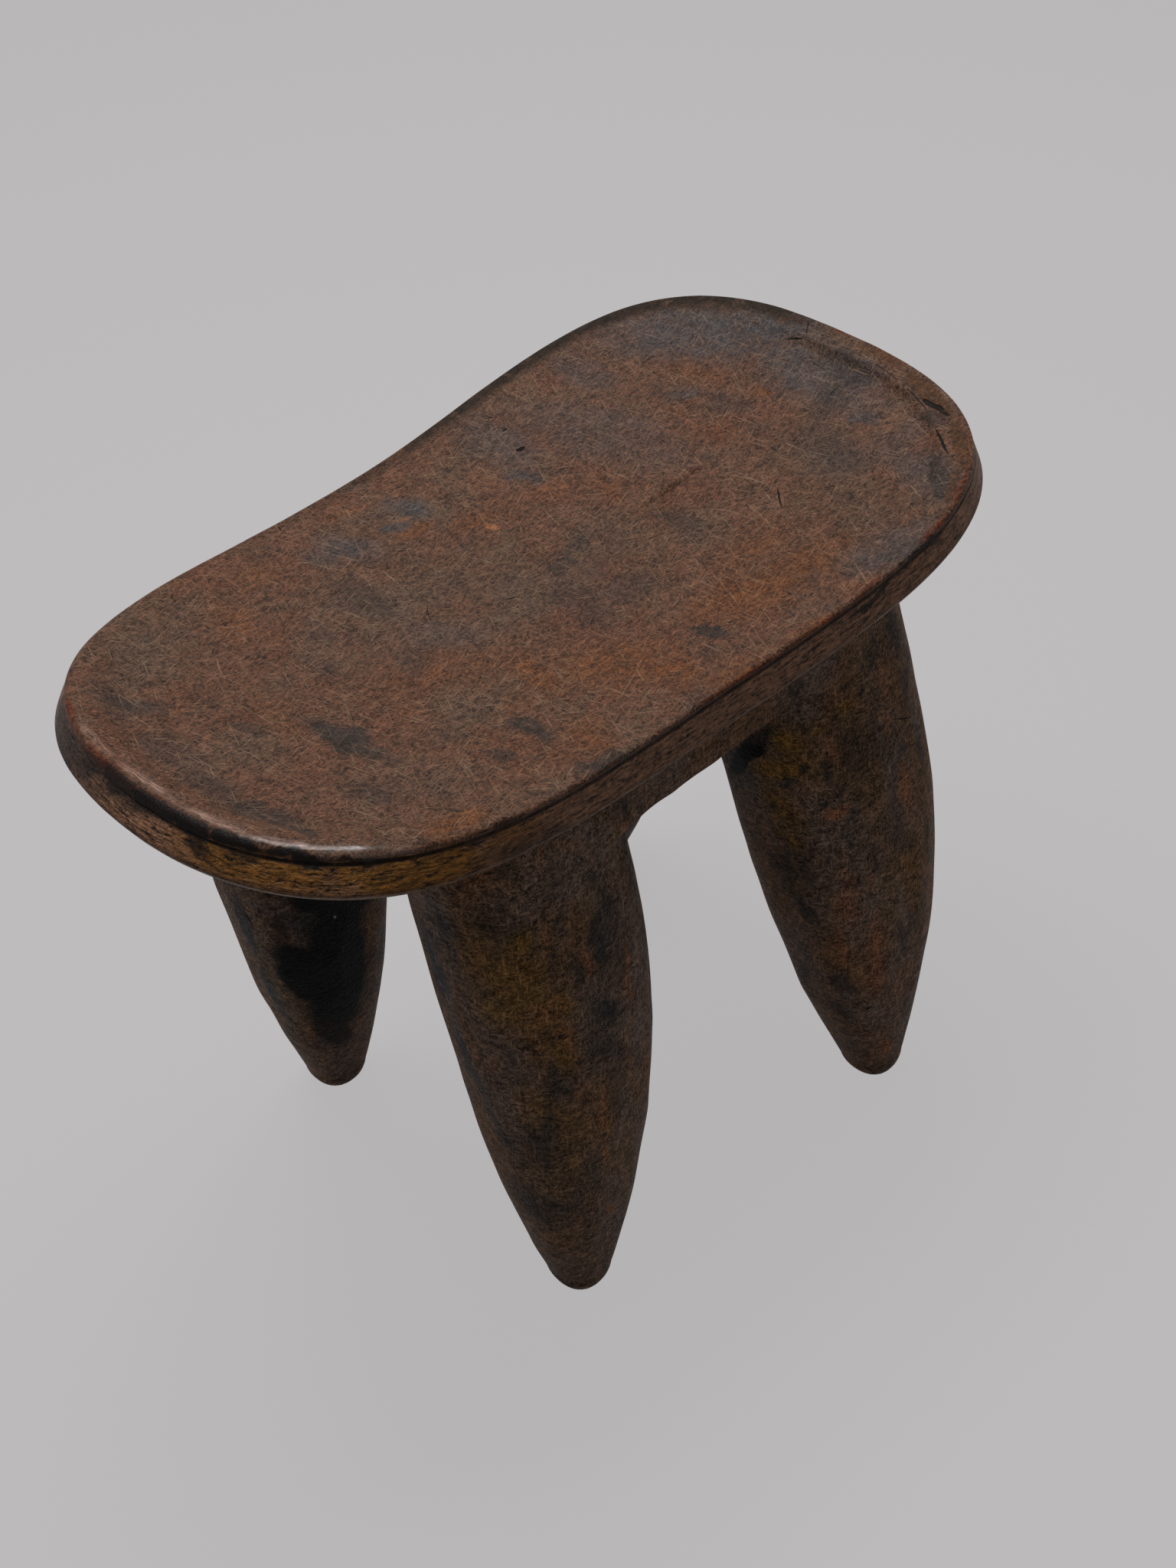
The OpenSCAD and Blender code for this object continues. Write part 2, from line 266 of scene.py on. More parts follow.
# towards the back the right lip loses this share of its height, and its slope is wider by these mm
LIP_LOST, CREST_OUT, FOOT_IN = 0.6, 5, 9
rear = ease(-0.05, 0.6, np.sin(t))
for step in LIP_STEPS + tuple(TOP_STEPS):
    inset = radius + step + end_lean * ease(60, 0, step)
    slope_left = ease(LIP_CREST_LEFT, LIP_FOOT_LEFT, step)
    slope_right = ease(LIP_CREST_RIGHT - CREST_OUT * rear, LIP_FOOT_RIGHT + FOOT_IN * rear, step)
    slope_right = slope_right * (1 - LIP_LOST * rear)
    drop = LIP_HEIGHT * (left_end * slope_left + right_end * slope_right) + DISH * ease(0, HALF_WIDTH, step)
    ring(inset, drop, -ROLL_BAND - step)
for squeeze in (0.88, 0.74, 0.6, 0.46, 0.32, 0.18, 0.06, 0):
    ring(inset, drop, -ROLL_BAND - HALF_WIDTH, squeeze)
print(len(rings), "rings of", AROUND, "points")

# %% Skin the rings into one closed mesh
count = len(rings)
index = np.arange(count * AROUND).reshape(count, AROUND)
# the first and last rings are flat lines, there and back, so their two halves share points
mirror = np.minimum(np.arange(AROUND), AROUND - np.arange(AROUND))
for r in (0, count - 1):
    index[r] = index[r][mirror]
low, high = index[:-1], index[1:]
quads = np.stack([low, np.roll(low, -1, 1), np.roll(high, -1, 1), high], -1).reshape(-1, 4)

# the Rim map: how far round the rim a point lies, and how far along the profile
u_low = np.tile(np.arange(AROUND), (count - 1, 1)) * RIM_LENGTH / AROUND
u_high = u_low + RIM_LENGTH / AROUND
v_low, v_high = np.stack(bands)[:-1], np.stack(bands)[1:]
uv = np.stack([
    np.stack([u_low, v_low], -1), np.stack([u_high, np.roll(v_low, -1, 1)], -1),
    np.stack([u_high, np.roll(v_high, -1, 1)], -1), np.stack([u_low, v_high], -1),
], -2).reshape(-1, 2) * MM

seat_mesh = bpy.data.meshes.new("seat_slab")
seat_mesh.from_pydata((np.concatenate(rings) * MM).tolist(), [], quads.tolist())
seat_mesh.uv_layers.new(name="Rim").data.foreach_set("uv", uv.astype(np.float32).ravel())
shaper = bmesh.new()
shaper.from_mesh(seat_mesh)
bmesh.ops.delete(shaper, geom=[v for v in shaper.verts if not v.link_faces], context="VERTS")
shaper.to_mesh(seat_mesh)
print("seat:", len(shaper.verts), "points,", round(shaper.calc_volume() * 1e6), "cm3,",
      sum(not e.is_manifold for e in shaper.edges), "open edges")
shaper.free()

# %% [markdown]
# # Dents and hollows from use
# Years of knocks leave shallow dents, and two small bites are missing from the top. They are real hollows
# in the mesh, so that they catch the light from any side. A mark is placed by its pixel in the photograph:
# a line of sight through that pixel is cast onto the wood.

# %% Find marks by their pixels, and cut the dents
def finder(mesh):
    """A tree that lines of sight can be cast on."""
    shape = bmesh.new()
    shape.from_mesh(mesh)
    tree = BVHTree.FromBMesh(shape)
    shape.free()
    return tree


def spot(tree, px, py):
    """Where the line of sight through a pixel meets the wood, and which way the wood faces there."""
    hit, normal, _, _ = tree.ray_cast(CAMERA_AT, sight_line(px, py))
    return hit, normal


seat_tree = finder(seat_mesh)
# Dents in the top: pixel, radius and depth in mm
DENTS = (
    (680, 585, 2.8, 1.5), (643, 686, 3.4, 0.5), (415, 945, 12, 0.5), (485, 982, 13, 0.5),
    (1125, 605, 22, 0.5), (950, 530, 26, 0.5), (575, 715, 30, 0.5), (715, 950, 20, 0.4),
    (330, 920, 24, 0.5), (880, 715, 32, 0.5), (990, 507, 7, 0.7), (1215, 527, 6, 1.2),
    (1236, 536, 5, 1.0), (340, 1060, 16, 0.5), (530, 880, 22, 0.4), (925, 410, 14, 0.5),
    (666, 778, 3, 0.7), (660, 560, 2.2, 0.6), (930, 822, 7, 0.5), (1020, 425, 14, 0.5),
)
# the dents fade out from 14 mm below the rim to 24 mm below it, so the underside stays as it is
TOP_ONLY, TOP_FADE = 14, 10
position = np.empty(len(seat_mesh.vertices) * 3, np.float32)
seat_mesh.vertices.foreach_get("co", position)
position = position.reshape(-1, 3)
on_top = ease(-TOP_FADE, 0, position[:, 2] / MM - (SEAT_HEIGHT + saddle(position[:, 0] / MM) - TOP_ONLY))
for px, py, size, depth in DENTS:
    centre, _ = spot(seat_tree, px, py)
    away = np.hypot(position[:, 0] - centre.x, position[:, 1] - centre.y) / (size * MM)
    position[:, 2] -= depth * MM * np.exp(-(away * 1.25) ** 4) * on_top
seat_mesh.vertices.foreach_set("co", position.ravel())
seat_mesh.update()
print(len(DENTS), "dents and bites cut into the top")

# %% [markdown]
# # The carver's marks, as a node tree
# An adze takes shallow scoops, and wear softens them. The tree lowers each point along its normal: slow
# swells, then scoops from a Voronoi pattern, which is a field of cells with a hollow in each. It only ever
# cuts inwards, so the stool never grows past its real size. Its sizes are named inputs and its seed is fixed.

# %% Node tree that cuts tool marks
def new_group(name, inputs, output):
    """A node group with inputs given as name, type and default, and one output given as name and type."""
    tree = bpy.data.node_groups.new(name, "GeometryNodeTree")
    for title, kind, value in inputs:
        socket = tree.interface.new_socket(title, in_out="INPUT", socket_type="NodeSocket" + kind)
        if value is not None:
            socket.default_value = value
    tree.interface.new_socket(output[0], in_out="OUTPUT", socket_type="NodeSocket" + output[1])
    return tree, tree.nodes.new("NodeGroupInput").outputs


def position_in_mm(tree):
    """Where a point of the mesh or the grid lies, in mm."""
    return add(tree, VECTOR, {0: add(tree, "GeometryNodeInputPosition"), "Scale": 1 / MM}, operation="SCALE")


# how fast the cuts fade in above the flat part, per mm
FADE_IN = 0.12


def tool_marks_tree():
    """Geometry in, geometry out: swells and scoops cut into the surface."""
    tree, given = new_group("Tool marks", [("Geometry", "Geometry", None)] + [
        (name, "Float", value) for name, value in (
            ("Swell size", 70), ("Swell depth", 1), ("Scoop length", 40), ("Scoop width", 16),
            ("Scoop depth", 0.5), ("Seed", 4), ("Flat below", -100))
    ] + [("Along", "Vector", (0, 0, 1)), ("Finish", "Material", None)], ("Geometry", "Geometry"))
    place = position_in_mm(tree)
    swell = add(tree, NOISE, {
        "Vector": place, "W": given["Seed"], "Detail": 1.0,
        "Scale": add(tree, "DIVIDE", (1.0, given["Swell size"])),
    }, noise_dimensions="4D")
    # shrink the pattern along the tool's strokes, so that each scoop is longer than wide
    along = add(tree, VECTOR, (place, given["Along"]), operation="DOT_PRODUCT")
    stretch = add(tree, "DIVIDE", (given["Scoop width"], given["Scoop length"]))
    moved = add(tree, "MULTIPLY", (along.outputs["Value"], add(tree, "SUBTRACT", (stretch, 1.0))))
    pull = add(tree, VECTOR, {0: given["Along"], "Scale": moved}, operation="SCALE")
    cells = add(tree, "ShaderNodeTexVoronoi", {
        "Vector": add(tree, VECTOR, (place, pull), operation="ADD"), "W": given["Seed"], "Smoothness": 0.35,
        "Scale": add(tree, "DIVIDE", (1.0, given["Scoop width"])),
    }, voronoi_dimensions="4D", feature="SMOOTH_F1")
    bowl = add(tree, "POWER", (cells.outputs["Distance"], 2.0))
    scoop = add(tree, "SUBTRACT", (1.0, bowl), use_clamp=True)
    scoop = add(tree, "MULTIPLY", (scoop, given["Scoop depth"]))
    cut = add(tree, "MULTIPLY_ADD", (swell, given["Swell depth"], scoop))
    # the cuts fade out where the wood has to stay flat, as under the feet
    height = add(tree, "ShaderNodeSeparateXYZ", (place,)).outputs["Z"]
    above = add(tree, "SUBTRACT", (height, given["Flat below"]))
    free = add(tree, "MULTIPLY", (above, FADE_IN), use_clamp=True)
    depth = add(tree, "MULTIPLY", (add(tree, "MULTIPLY", (cut, free)), -MM))
    offset = add(tree, VECTOR, {0: add(tree, "GeometryNodeInputNormal"), "Scale": depth}, operation="SCALE")
    carved = add(tree, "GeometryNodeSetPosition", {"Geometry": given["Geometry"], "Offset": offset})
    smooth = add(tree, "GeometryNodeSetShadeSmooth", {"Geometry": carved})
    real = add(tree, "GeometryNodeRealizeInstances", {"Geometry": smooth})
    dressed = add(tree, "GeometryNodeSetMaterial", {"Geometry": real, "Material": given["Finish"]})
    add(tree, "NodeGroupOutput", (dressed,))
    return tree


def apply_tree(mesh, tree, name, settings):
    """Runs a node tree on a mesh with named inputs and returns the result as a plain mesh."""
    carrier = show(name, mesh)
    modifier = carrier.modifiers.new("tree", "NODES")
    modifier.node_group = tree
    sockets = {item.name: item.identifier for item in tree.interface.items_tree if item.in_out == "INPUT"}
    for key, value in settings.items():
        modifier[sockets[key]] = value
    evaluated = carrier.evaluated_get(bpy.context.evaluated_depsgraph_get())
    result = bpy.data.meshes.new_from_object(evaluated)
    bpy.data.objects.remove(carrier)
    result.name = name
    return result


tool_marks = tool_marks_tree()
print("tool marks:", len(tool_marks.nodes), "nodes")

# %% [markdown]
# # Patterns and layers
# Both finishes are built in layers, as the years built them. A pattern gives each point a number from 0 to
# 1, and a layer lays a colour where that number is high. The patterns are noise in real millimetres: round
# patches, streaks drawn out along a direction, and marks placed where the photograph shows them.

# %% Patterns and layers that both finishes use
def new_material(name):
    """A material, its empty node tree, and the place on the wood in mm."""
    material = bpy.data.materials.new(name)
    material.use_nodes = True
    tree = material.node_tree
    tree.nodes.clear()
    place = add(tree, "ShaderNodeTexCoord").outputs["Object"]
    return material, tree, add(tree, VECTOR, {0: place, "Scale": 1 / MM}, operation="SCALE")


def mark_mask(tree, marks, wood, coordinates, depth=18, low=0.05, high=0.5, top=1.0):
    """The strongest of several soft ellipsoids, each given as two pixels, a width in mm and a strength."""
    mask = None
    for x0, y0, x1, y1, width, strength in marks:
        start, normal = spot(wood, x0, y0)
        end, _ = spot(wood, x1, y1)
        if start is None or end is None:
            print("a mark misses the wood:", (x0, y0, x1, y1))
            continue
        axis = end - start
        half = axis.length / 2 + width * MM / 2
        x_axis = axis.normalized()
        z_axis = (normal - x_axis * normal.dot(x_axis)).normalized()
        turn = Matrix((x_axis, z_axis.cross(x_axis), z_axis)).transposed().to_euler()
        place = add(tree, "ShaderNodeMapping", {
            "Vector": coordinates, "Location": (start + end) / 2 / MM, "Rotation": turn,
            "Scale": (half / MM, width / 2, depth),
        }, vector_type="TEXTURE")
        ball = add(tree, "ShaderNodeTexGradient", (place,), gradient_type="SPHERICAL").outputs["Fac"]
        here = add(tree, MAP, (ball, low, high, 0, strength * top))
        mask = here if mask is None else add(tree, "MAXIMUM", (mask, here))
    return mask


def warped(tree, place, size, reach, seed):
    """Coordinates pushed about by noise, so that a patch has a ragged edge."""
    noise = add(tree, NOISE, {"Vector": place, "W": seed, "Scale": 1 / size, "Detail": 3.0},
                noise_dimensions="4D")
    centred = add(tree, VECTOR, (noise.outputs["Color"], (0.5, 0.5, 0.5)), operation="SUBTRACT")
    push = add(tree, VECTOR, {0: centred, "Scale": reach * 2}, operation="SCALE")
    return add(tree, VECTOR, (place, push), operation="ADD")


def layer(tree, mask, below, colour):
    """Lays a colour over another where the mask is 1."""
    below, colour = (linear(c) if isinstance(c, str) else c for c in (below, colour))
    return add(tree, "ShaderNodeMix", {0: mask, 6: below, 7: colour}, data_type="RGBA").outputs[2]


def patches(tree, place, size, seed, low, high, top=1.0, detail=4.0, roughness=0.55):
    """Noise of a size in mm, turned into patches: 0 where it is below low, top where it is above high."""
    noise = add(tree, NOISE, {"Vector": place, "W": seed, "Scale": 1 / size, "Detail": detail,
                              "Roughness": roughness}, noise_dimensions="4D")
    return add(tree, MAP, (noise, low, high, 0, top))


def streaks(tree, place, size, seed, turn=(0, 0, 0), detail=1.0):
    """Noise drawn out along a direction: size in mm along each axis, turn in degrees about X, Y and Z."""
    turned = add(tree, "ShaderNodeMapping", {
        "Vector": place, "Rotation": [math.radians(a) for a in turn], "Scale": size,
    }, vector_type="TEXTURE")
    return add(tree, NOISE, {"Vector": turned, "W": seed, "Scale": 1.0, "Detail": detail, "Roughness": 0.6},
               noise_dimensions="4D")


def hairs(tree, place, rows, high):
    """The strongest of several sets of streaks, each given as size, seed, turn and strength."""
    mask = None
    for size, seed, turn, share in rows:
        line = add(tree, MAP, (streaks(tree, place, size, seed, turn), 0.55, high, 0, share))
        mask = line if mask is None else add(tree, "MAXIMUM", (mask, line))
    return mask


def mixed(tree, parts):
    """The sum of patterns, each times its share; the last one is added first."""
    total = None
    for pattern, share in reversed(parts):
        if total is None:
            total = add(tree, "MULTIPLY", (pattern, share))
        else:
            total = add(tree, "MULTIPLY_ADD", (pattern, share, total))
    return total


def near_band(tree, band, at, outer, inner, top=1.0):
    """A stripe round the rim: top where the band is within inner mm of a place, 0 beyond outer mm."""
    away = add(tree, "ABSOLUTE", (add(tree, "SUBTRACT", (band, at)),))
    return add(tree, MAP, (away, outer, inner, 0, top))


def finish_material(tree, colour, relief, rough, settings):
    """Bump from the relief in mm, and the shader."""
    bump = add(tree, "ShaderNodeBump", {"Height": relief, "Distance": MM, "Strength": 1.0})
    shader = add(tree, "ShaderNodeBsdfPrincipled", {
        "Base Color": colour, "Roughness": rough, "Normal": bump, "IOR": 1.5, **settings})
    add(tree, "ShaderNodeOutputMaterial", (shader,))


# %% [markdown]
# # Finish 1: worn seat wood
# The top is a dense brown hardwood, oiled by hands and cloth. Fibres run along the seat, fine pale scratches
# cross them in every direction, and dark smudges and warm worn zones lie in soft patches. A blue-grey sheen is
# painted on the top, and shade is painted inside the left crest.
# The layers are wood, fibre, patches, scratches, side, rim and cracks. A mark is two pixels, a width in mm
# and a strength.

# %% Marks read off the seat
# dark smudges; the rows along the inside of the left crest and beside the lip's gash are painted shade
SMUDGES_AND_SHADE = (
    (398, 935, 505, 990, 20, 1.0), (440, 958, 470, 975, 24, 1.0), (118, 903, 215, 925, 18, 0.8),
    (210, 955, 256, 1000, 22, 0.5), (291, 1040, 383, 1075, 18, 0.8), (372, 1072, 410, 1092, 10, 0.8),
    (465, 1025, 505, 1045, 14, 0.6), (312, 945, 337, 953, 12, 0.5), (675, 940, 712, 958, 16, 0.9),
    (640, 978, 672, 992, 12, 0.7), (736, 770, 786, 808, 30, 0.5), (915, 820, 942, 826, 11, 0.9),
    (862, 670, 900, 680, 18, 0.6), (720, 750, 745, 725, 12, 0.6), (740, 720, 760, 705, 14, 0.5),
    (440, 760, 510, 800, 28, 0.5), (1060, 560, 1100, 600, 34, 0.5), (1075, 540, 1100, 500, 20, 0.6),
    (1090, 460, 1125, 500, 22, 0.6), (1200, 545, 1245, 540, 12, 0.7), (1215, 590, 1238, 660, 12, 0.9),
    (130, 885, 165, 955, 16, 0.4), (180, 955, 250, 1005, 16, 0.5), (245, 1010, 300, 1042, 18, 0.6),
    (940, 520, 970, 530, 22, 0.5), (800, 770, 850, 760, 26, 0.45), (740, 1010, 840, 978, 8, 0.8),
)
# painted sheen: a blue-grey reflection painted on the top, strongest at the far end
PAINTED_SHEEN = (
    (510, 655, 555, 672, 18, 0.9), (495, 690, 530, 685, 10, 0.9), (420, 710, 480, 725, 26, 0.8),
    (400, 720, 440, 735, 16, 0.6), (670, 615, 700, 625, 16, 0.8), (620, 555, 700, 600, 34, 0.6),
    (860, 410, 900, 425, 22, 0.9), (960, 415, 1055, 430, 34, 1.0), (820, 425, 900, 450, 40, 0.8),
    (940, 440, 1000, 450, 40, 0.7), (1060, 470, 1140, 500, 34, 0.8), (740, 470, 790, 500, 30, 0.6),
    (700, 540, 900, 600, 60, 0.45), (880, 520, 900, 510, 12, 0.6), (1110, 540, 1145, 548, 16, 0.8),
    (1180, 590, 1230, 640, 34, 0.6), (1130, 730, 1200, 700, 36, 0.7), (540, 830, 600, 830, 30, 0.3),
    (1100, 600, 1200, 560, 40, 0.35), (820, 432, 1000, 440, 60, 0.9), (1000, 450, 1120, 520, 50, 0.8),
)
WARM = (
    (920, 800, 1050, 745, 40, 1.0), (985, 760, 1090, 720, 40, 0.8), (950, 740, 1010, 700, 40, 0.6),
    (856, 865, 905, 888, 26, 1.0), (675, 860, 730, 905, 26, 0.9), (740, 870, 860, 860, 50, 0.8),
    (650, 930, 700, 900, 20, 0.5), (757, 945, 790, 980, 30, 0.7), (560, 1085, 640, 1060, 18, 1.0),
    (1040, 830, 1100, 805, 12, 1.0), (900, 940, 1020, 850, 14, 0.8), (500, 900, 660, 860, 50, 0.4),
    (300, 760, 360, 740, 26, 0.6), (270, 780, 330, 840, 26, 0.5), (430, 680, 470, 655, 10, 0.7),
    (520, 700, 560, 680, 16, 0.8), (600, 690, 640, 670, 16, 0.6), (860, 470, 930, 490, 30, 0.7),
    (800, 410, 830, 400, 14, 0.8), (985, 505, 1005, 512, 8, 0.9), (1150, 560, 1120, 580, 30, 0.5),
    (380, 960, 330, 900, 30, 0.4), (780, 620, 810, 650, 20, 0.4), (850, 580, 960, 560, 30, 0.4),
)
# a pale line on the left crest: partly wear, partly a painted highlight
RIM_WORN_AND_HIGHLIGHT = (
    (100, 942, 150, 990, 5, 0.5), (150, 990, 236, 1050, 6, 0.8), (232, 1048, 322, 1090, 6, 0.9),
    (322, 1090, 420, 1108, 5, 0.6), (500, 1112, 560, 1106, 4, 0.4),
)
RIM_POLISH = (
    (262, 1060, 335, 1090, 7, 0.5), (330, 1088, 400, 1106, 7, 0.9), (395, 1105, 500, 1114, 8, 1.0),
    (495, 1114, 545, 1108, 7, 0.6), (104, 925, 125, 965, 6, 0.3), (125, 965, 262, 1060, 5, 0.25),
)
CRACKS = (
    (1014, 632, 1022, 665, 1.3, 1.0), (1217, 552, 1240, 598, 1.7, 1.0), (1022, 443, 1053, 441, 1.5, 1.0),
    (1053, 441, 1056, 415, 1.1, 0.7), (1078, 520, 1100, 500, 1.0, 0.8), (1056, 468, 1082, 486, 0.9, 0.6),
    (556, 785, 562, 812, 0.6, 0.7), (661, 780, 675, 777, 1.6, 1.0), (635, 543, 645, 545, 1.4, 0.9),
    (655, 562, 662, 558, 1.6, 0.9), (675, 586, 685, 582, 3.6, 1.0), (1200, 517, 1238, 536, 4.5, 1.0),
    (1222, 530, 1242, 541, 3, 0.9),
    (995, 868, 1003, 866, 1.0, 0.8), (364, 686, 367, 693, 1.2, 0.7), (905, 926, 910, 920, 1.0, 0.8),
    (480, 740, 492, 742, 0.8, 0.6), (712, 454, 735, 449, 1.0, 0.4), (1135, 468, 1180, 500, 0.9, 0.7),
    (1180, 500, 1216, 538, 1.0, 0.8), (1090, 447, 1135, 468, 0.8, 0.5),
)
PALE_SPOTS = ((635, 685, 650, 688, 5, 1.0), (520, 680, 535, 674, 4, 0.4))
LONG_SCRATCHES = (
    (498, 742, 523, 764, 0.7, 0.9), (703, 657, 738, 692, 0.6, 0.7), (1170, 592, 1192, 580, 0.7, 0.7),
    (1180, 650, 1200, 670, 0.6, 0.6), (1160, 700, 1176, 684, 0.6, 0.6), (1092, 760, 1112, 778, 0.6, 0.7),
    (640, 560, 690, 610, 0.6, 0.5), (840, 480, 800, 500, 0.6, 0.5), (240, 950, 300, 975, 0.6, 0.6),
    (700, 590, 760, 612, 0.6, 0.5), (350, 700, 400, 712, 0.6, 0.6),
)
RUST = (
    (84, 905, 102, 960, 5, 0.9), (106, 972, 165, 1022, 5, 0.9), (165, 1024, 235, 1060, 4, 0.8),
    (1264, 612, 1243, 665, 4, 1.0), (1243, 668, 1198, 712, 3.5, 0.9), (1055, 826, 1105, 797, 3, 0.9),
    (1112, 790, 1160, 745, 2.5, 0.6), (898, 929, 1048, 836, 2.5, 0.6), (1000, 410, 1055, 420, 6, 0.5),
    (1085, 425, 1120, 440, 6, 0.7),
)
LIP_OCHRE = (
    (1184, 484, 1240, 538, 11, 0.9), (1246, 545, 1262, 610, 9, 0.9), (1250, 612, 1236, 660, 6, 0.8),
    (1120, 450, 1180, 475, 9, 0.6), (850, 396, 1000, 402, 7, 0.4),
)
SIDE_OCHRE = (
    (250, 1090, 420, 1138, 34, 1.0), (420, 1133, 620, 1130, 30, 1.0), (640, 1110, 700, 1085, 18, 0.6),
)
SIDE_DARK = (
    (76, 925, 124, 1010, 26, 0.9), (120, 1010, 200, 1060, 14, 0.5), (620, 1128, 760, 1074, 10, 0.5),
)
RIM_BLACK = (
    (110, 985, 145, 1015, 10, 0.6), (136, 1008, 172, 1034, 14, 0.9), (172, 1036, 232, 1066, 16, 1.0),
    (232, 1072, 262, 1088, 14, 1.0), (262, 1086, 344, 1110, 8, 1.0), (340, 1110, 436, 1128, 6, 1.0),
    (430, 1128, 560, 1130, 5, 0.9), (240, 1100, 262, 1112, 8, 0.8), (300, 1106, 330, 1120, 8, 0.7),
    (1105, 812, 1180, 745, 5, 0.9), (1180, 745, 1240, 690, 5, 0.8), (560, 1122, 700, 1060, 4, 0.7),
)
print(len(SMUDGES_AND_SHADE), "smudges,", len(PAINTED_SHEEN), "blooms,", len(WARM), "warm zones,", len(CRACKS), "cracks")

# %% Hairs and scratches of the seat
# The real hairs are about 0.2 mm wide. They are drawn about 1 mm wide, so that a pixel can hold them
HAIR_WIDTH, HAIR_HIGH = 0.95, 0.71
# Hairs of the fibre: angle from the seat's length in degrees, length in mm, strength
HAIRS = ((0, 7, 1.0), (13, 6, 1.0), (-12, 6, 1.0), (34, 5, 0.85), (-38, 5, 0.8), (82, 4.5, 0.65))
# Fine scratches: angle and seed
SCRATCHES = ((22, 11.0), (-38, 12.0), (66, 13.0), (-74, 14.0), (95, 15.0))
# The side is two noises added up: where their sum mostly begins and ends
SIDE_SPREAD = (0.6321, 1.0679)
# The slab's lower edge, in mm along the profile from the rim
EDGE_BAND = 15.6
# Round the rim, the cut line starts past the middle of the left end
LINE_START = RIM_LENGTH * 0.53
# Relief in mm: fibre where it is dull, and how much lower where it is polished; scratch, crack, line, side
FIBRE_RELIEF, POLISH_RELIEF = 0.28, -0.2
SCRATCH_DEPTH, CRACK_DEPTH, LINE_DEPTH, SIDE_RELIEF = -0.1, -0.8, -0.3, 0.3
print(len(HAIRS), "sets of hairs,", len(SCRATCHES), "sets of scratches")

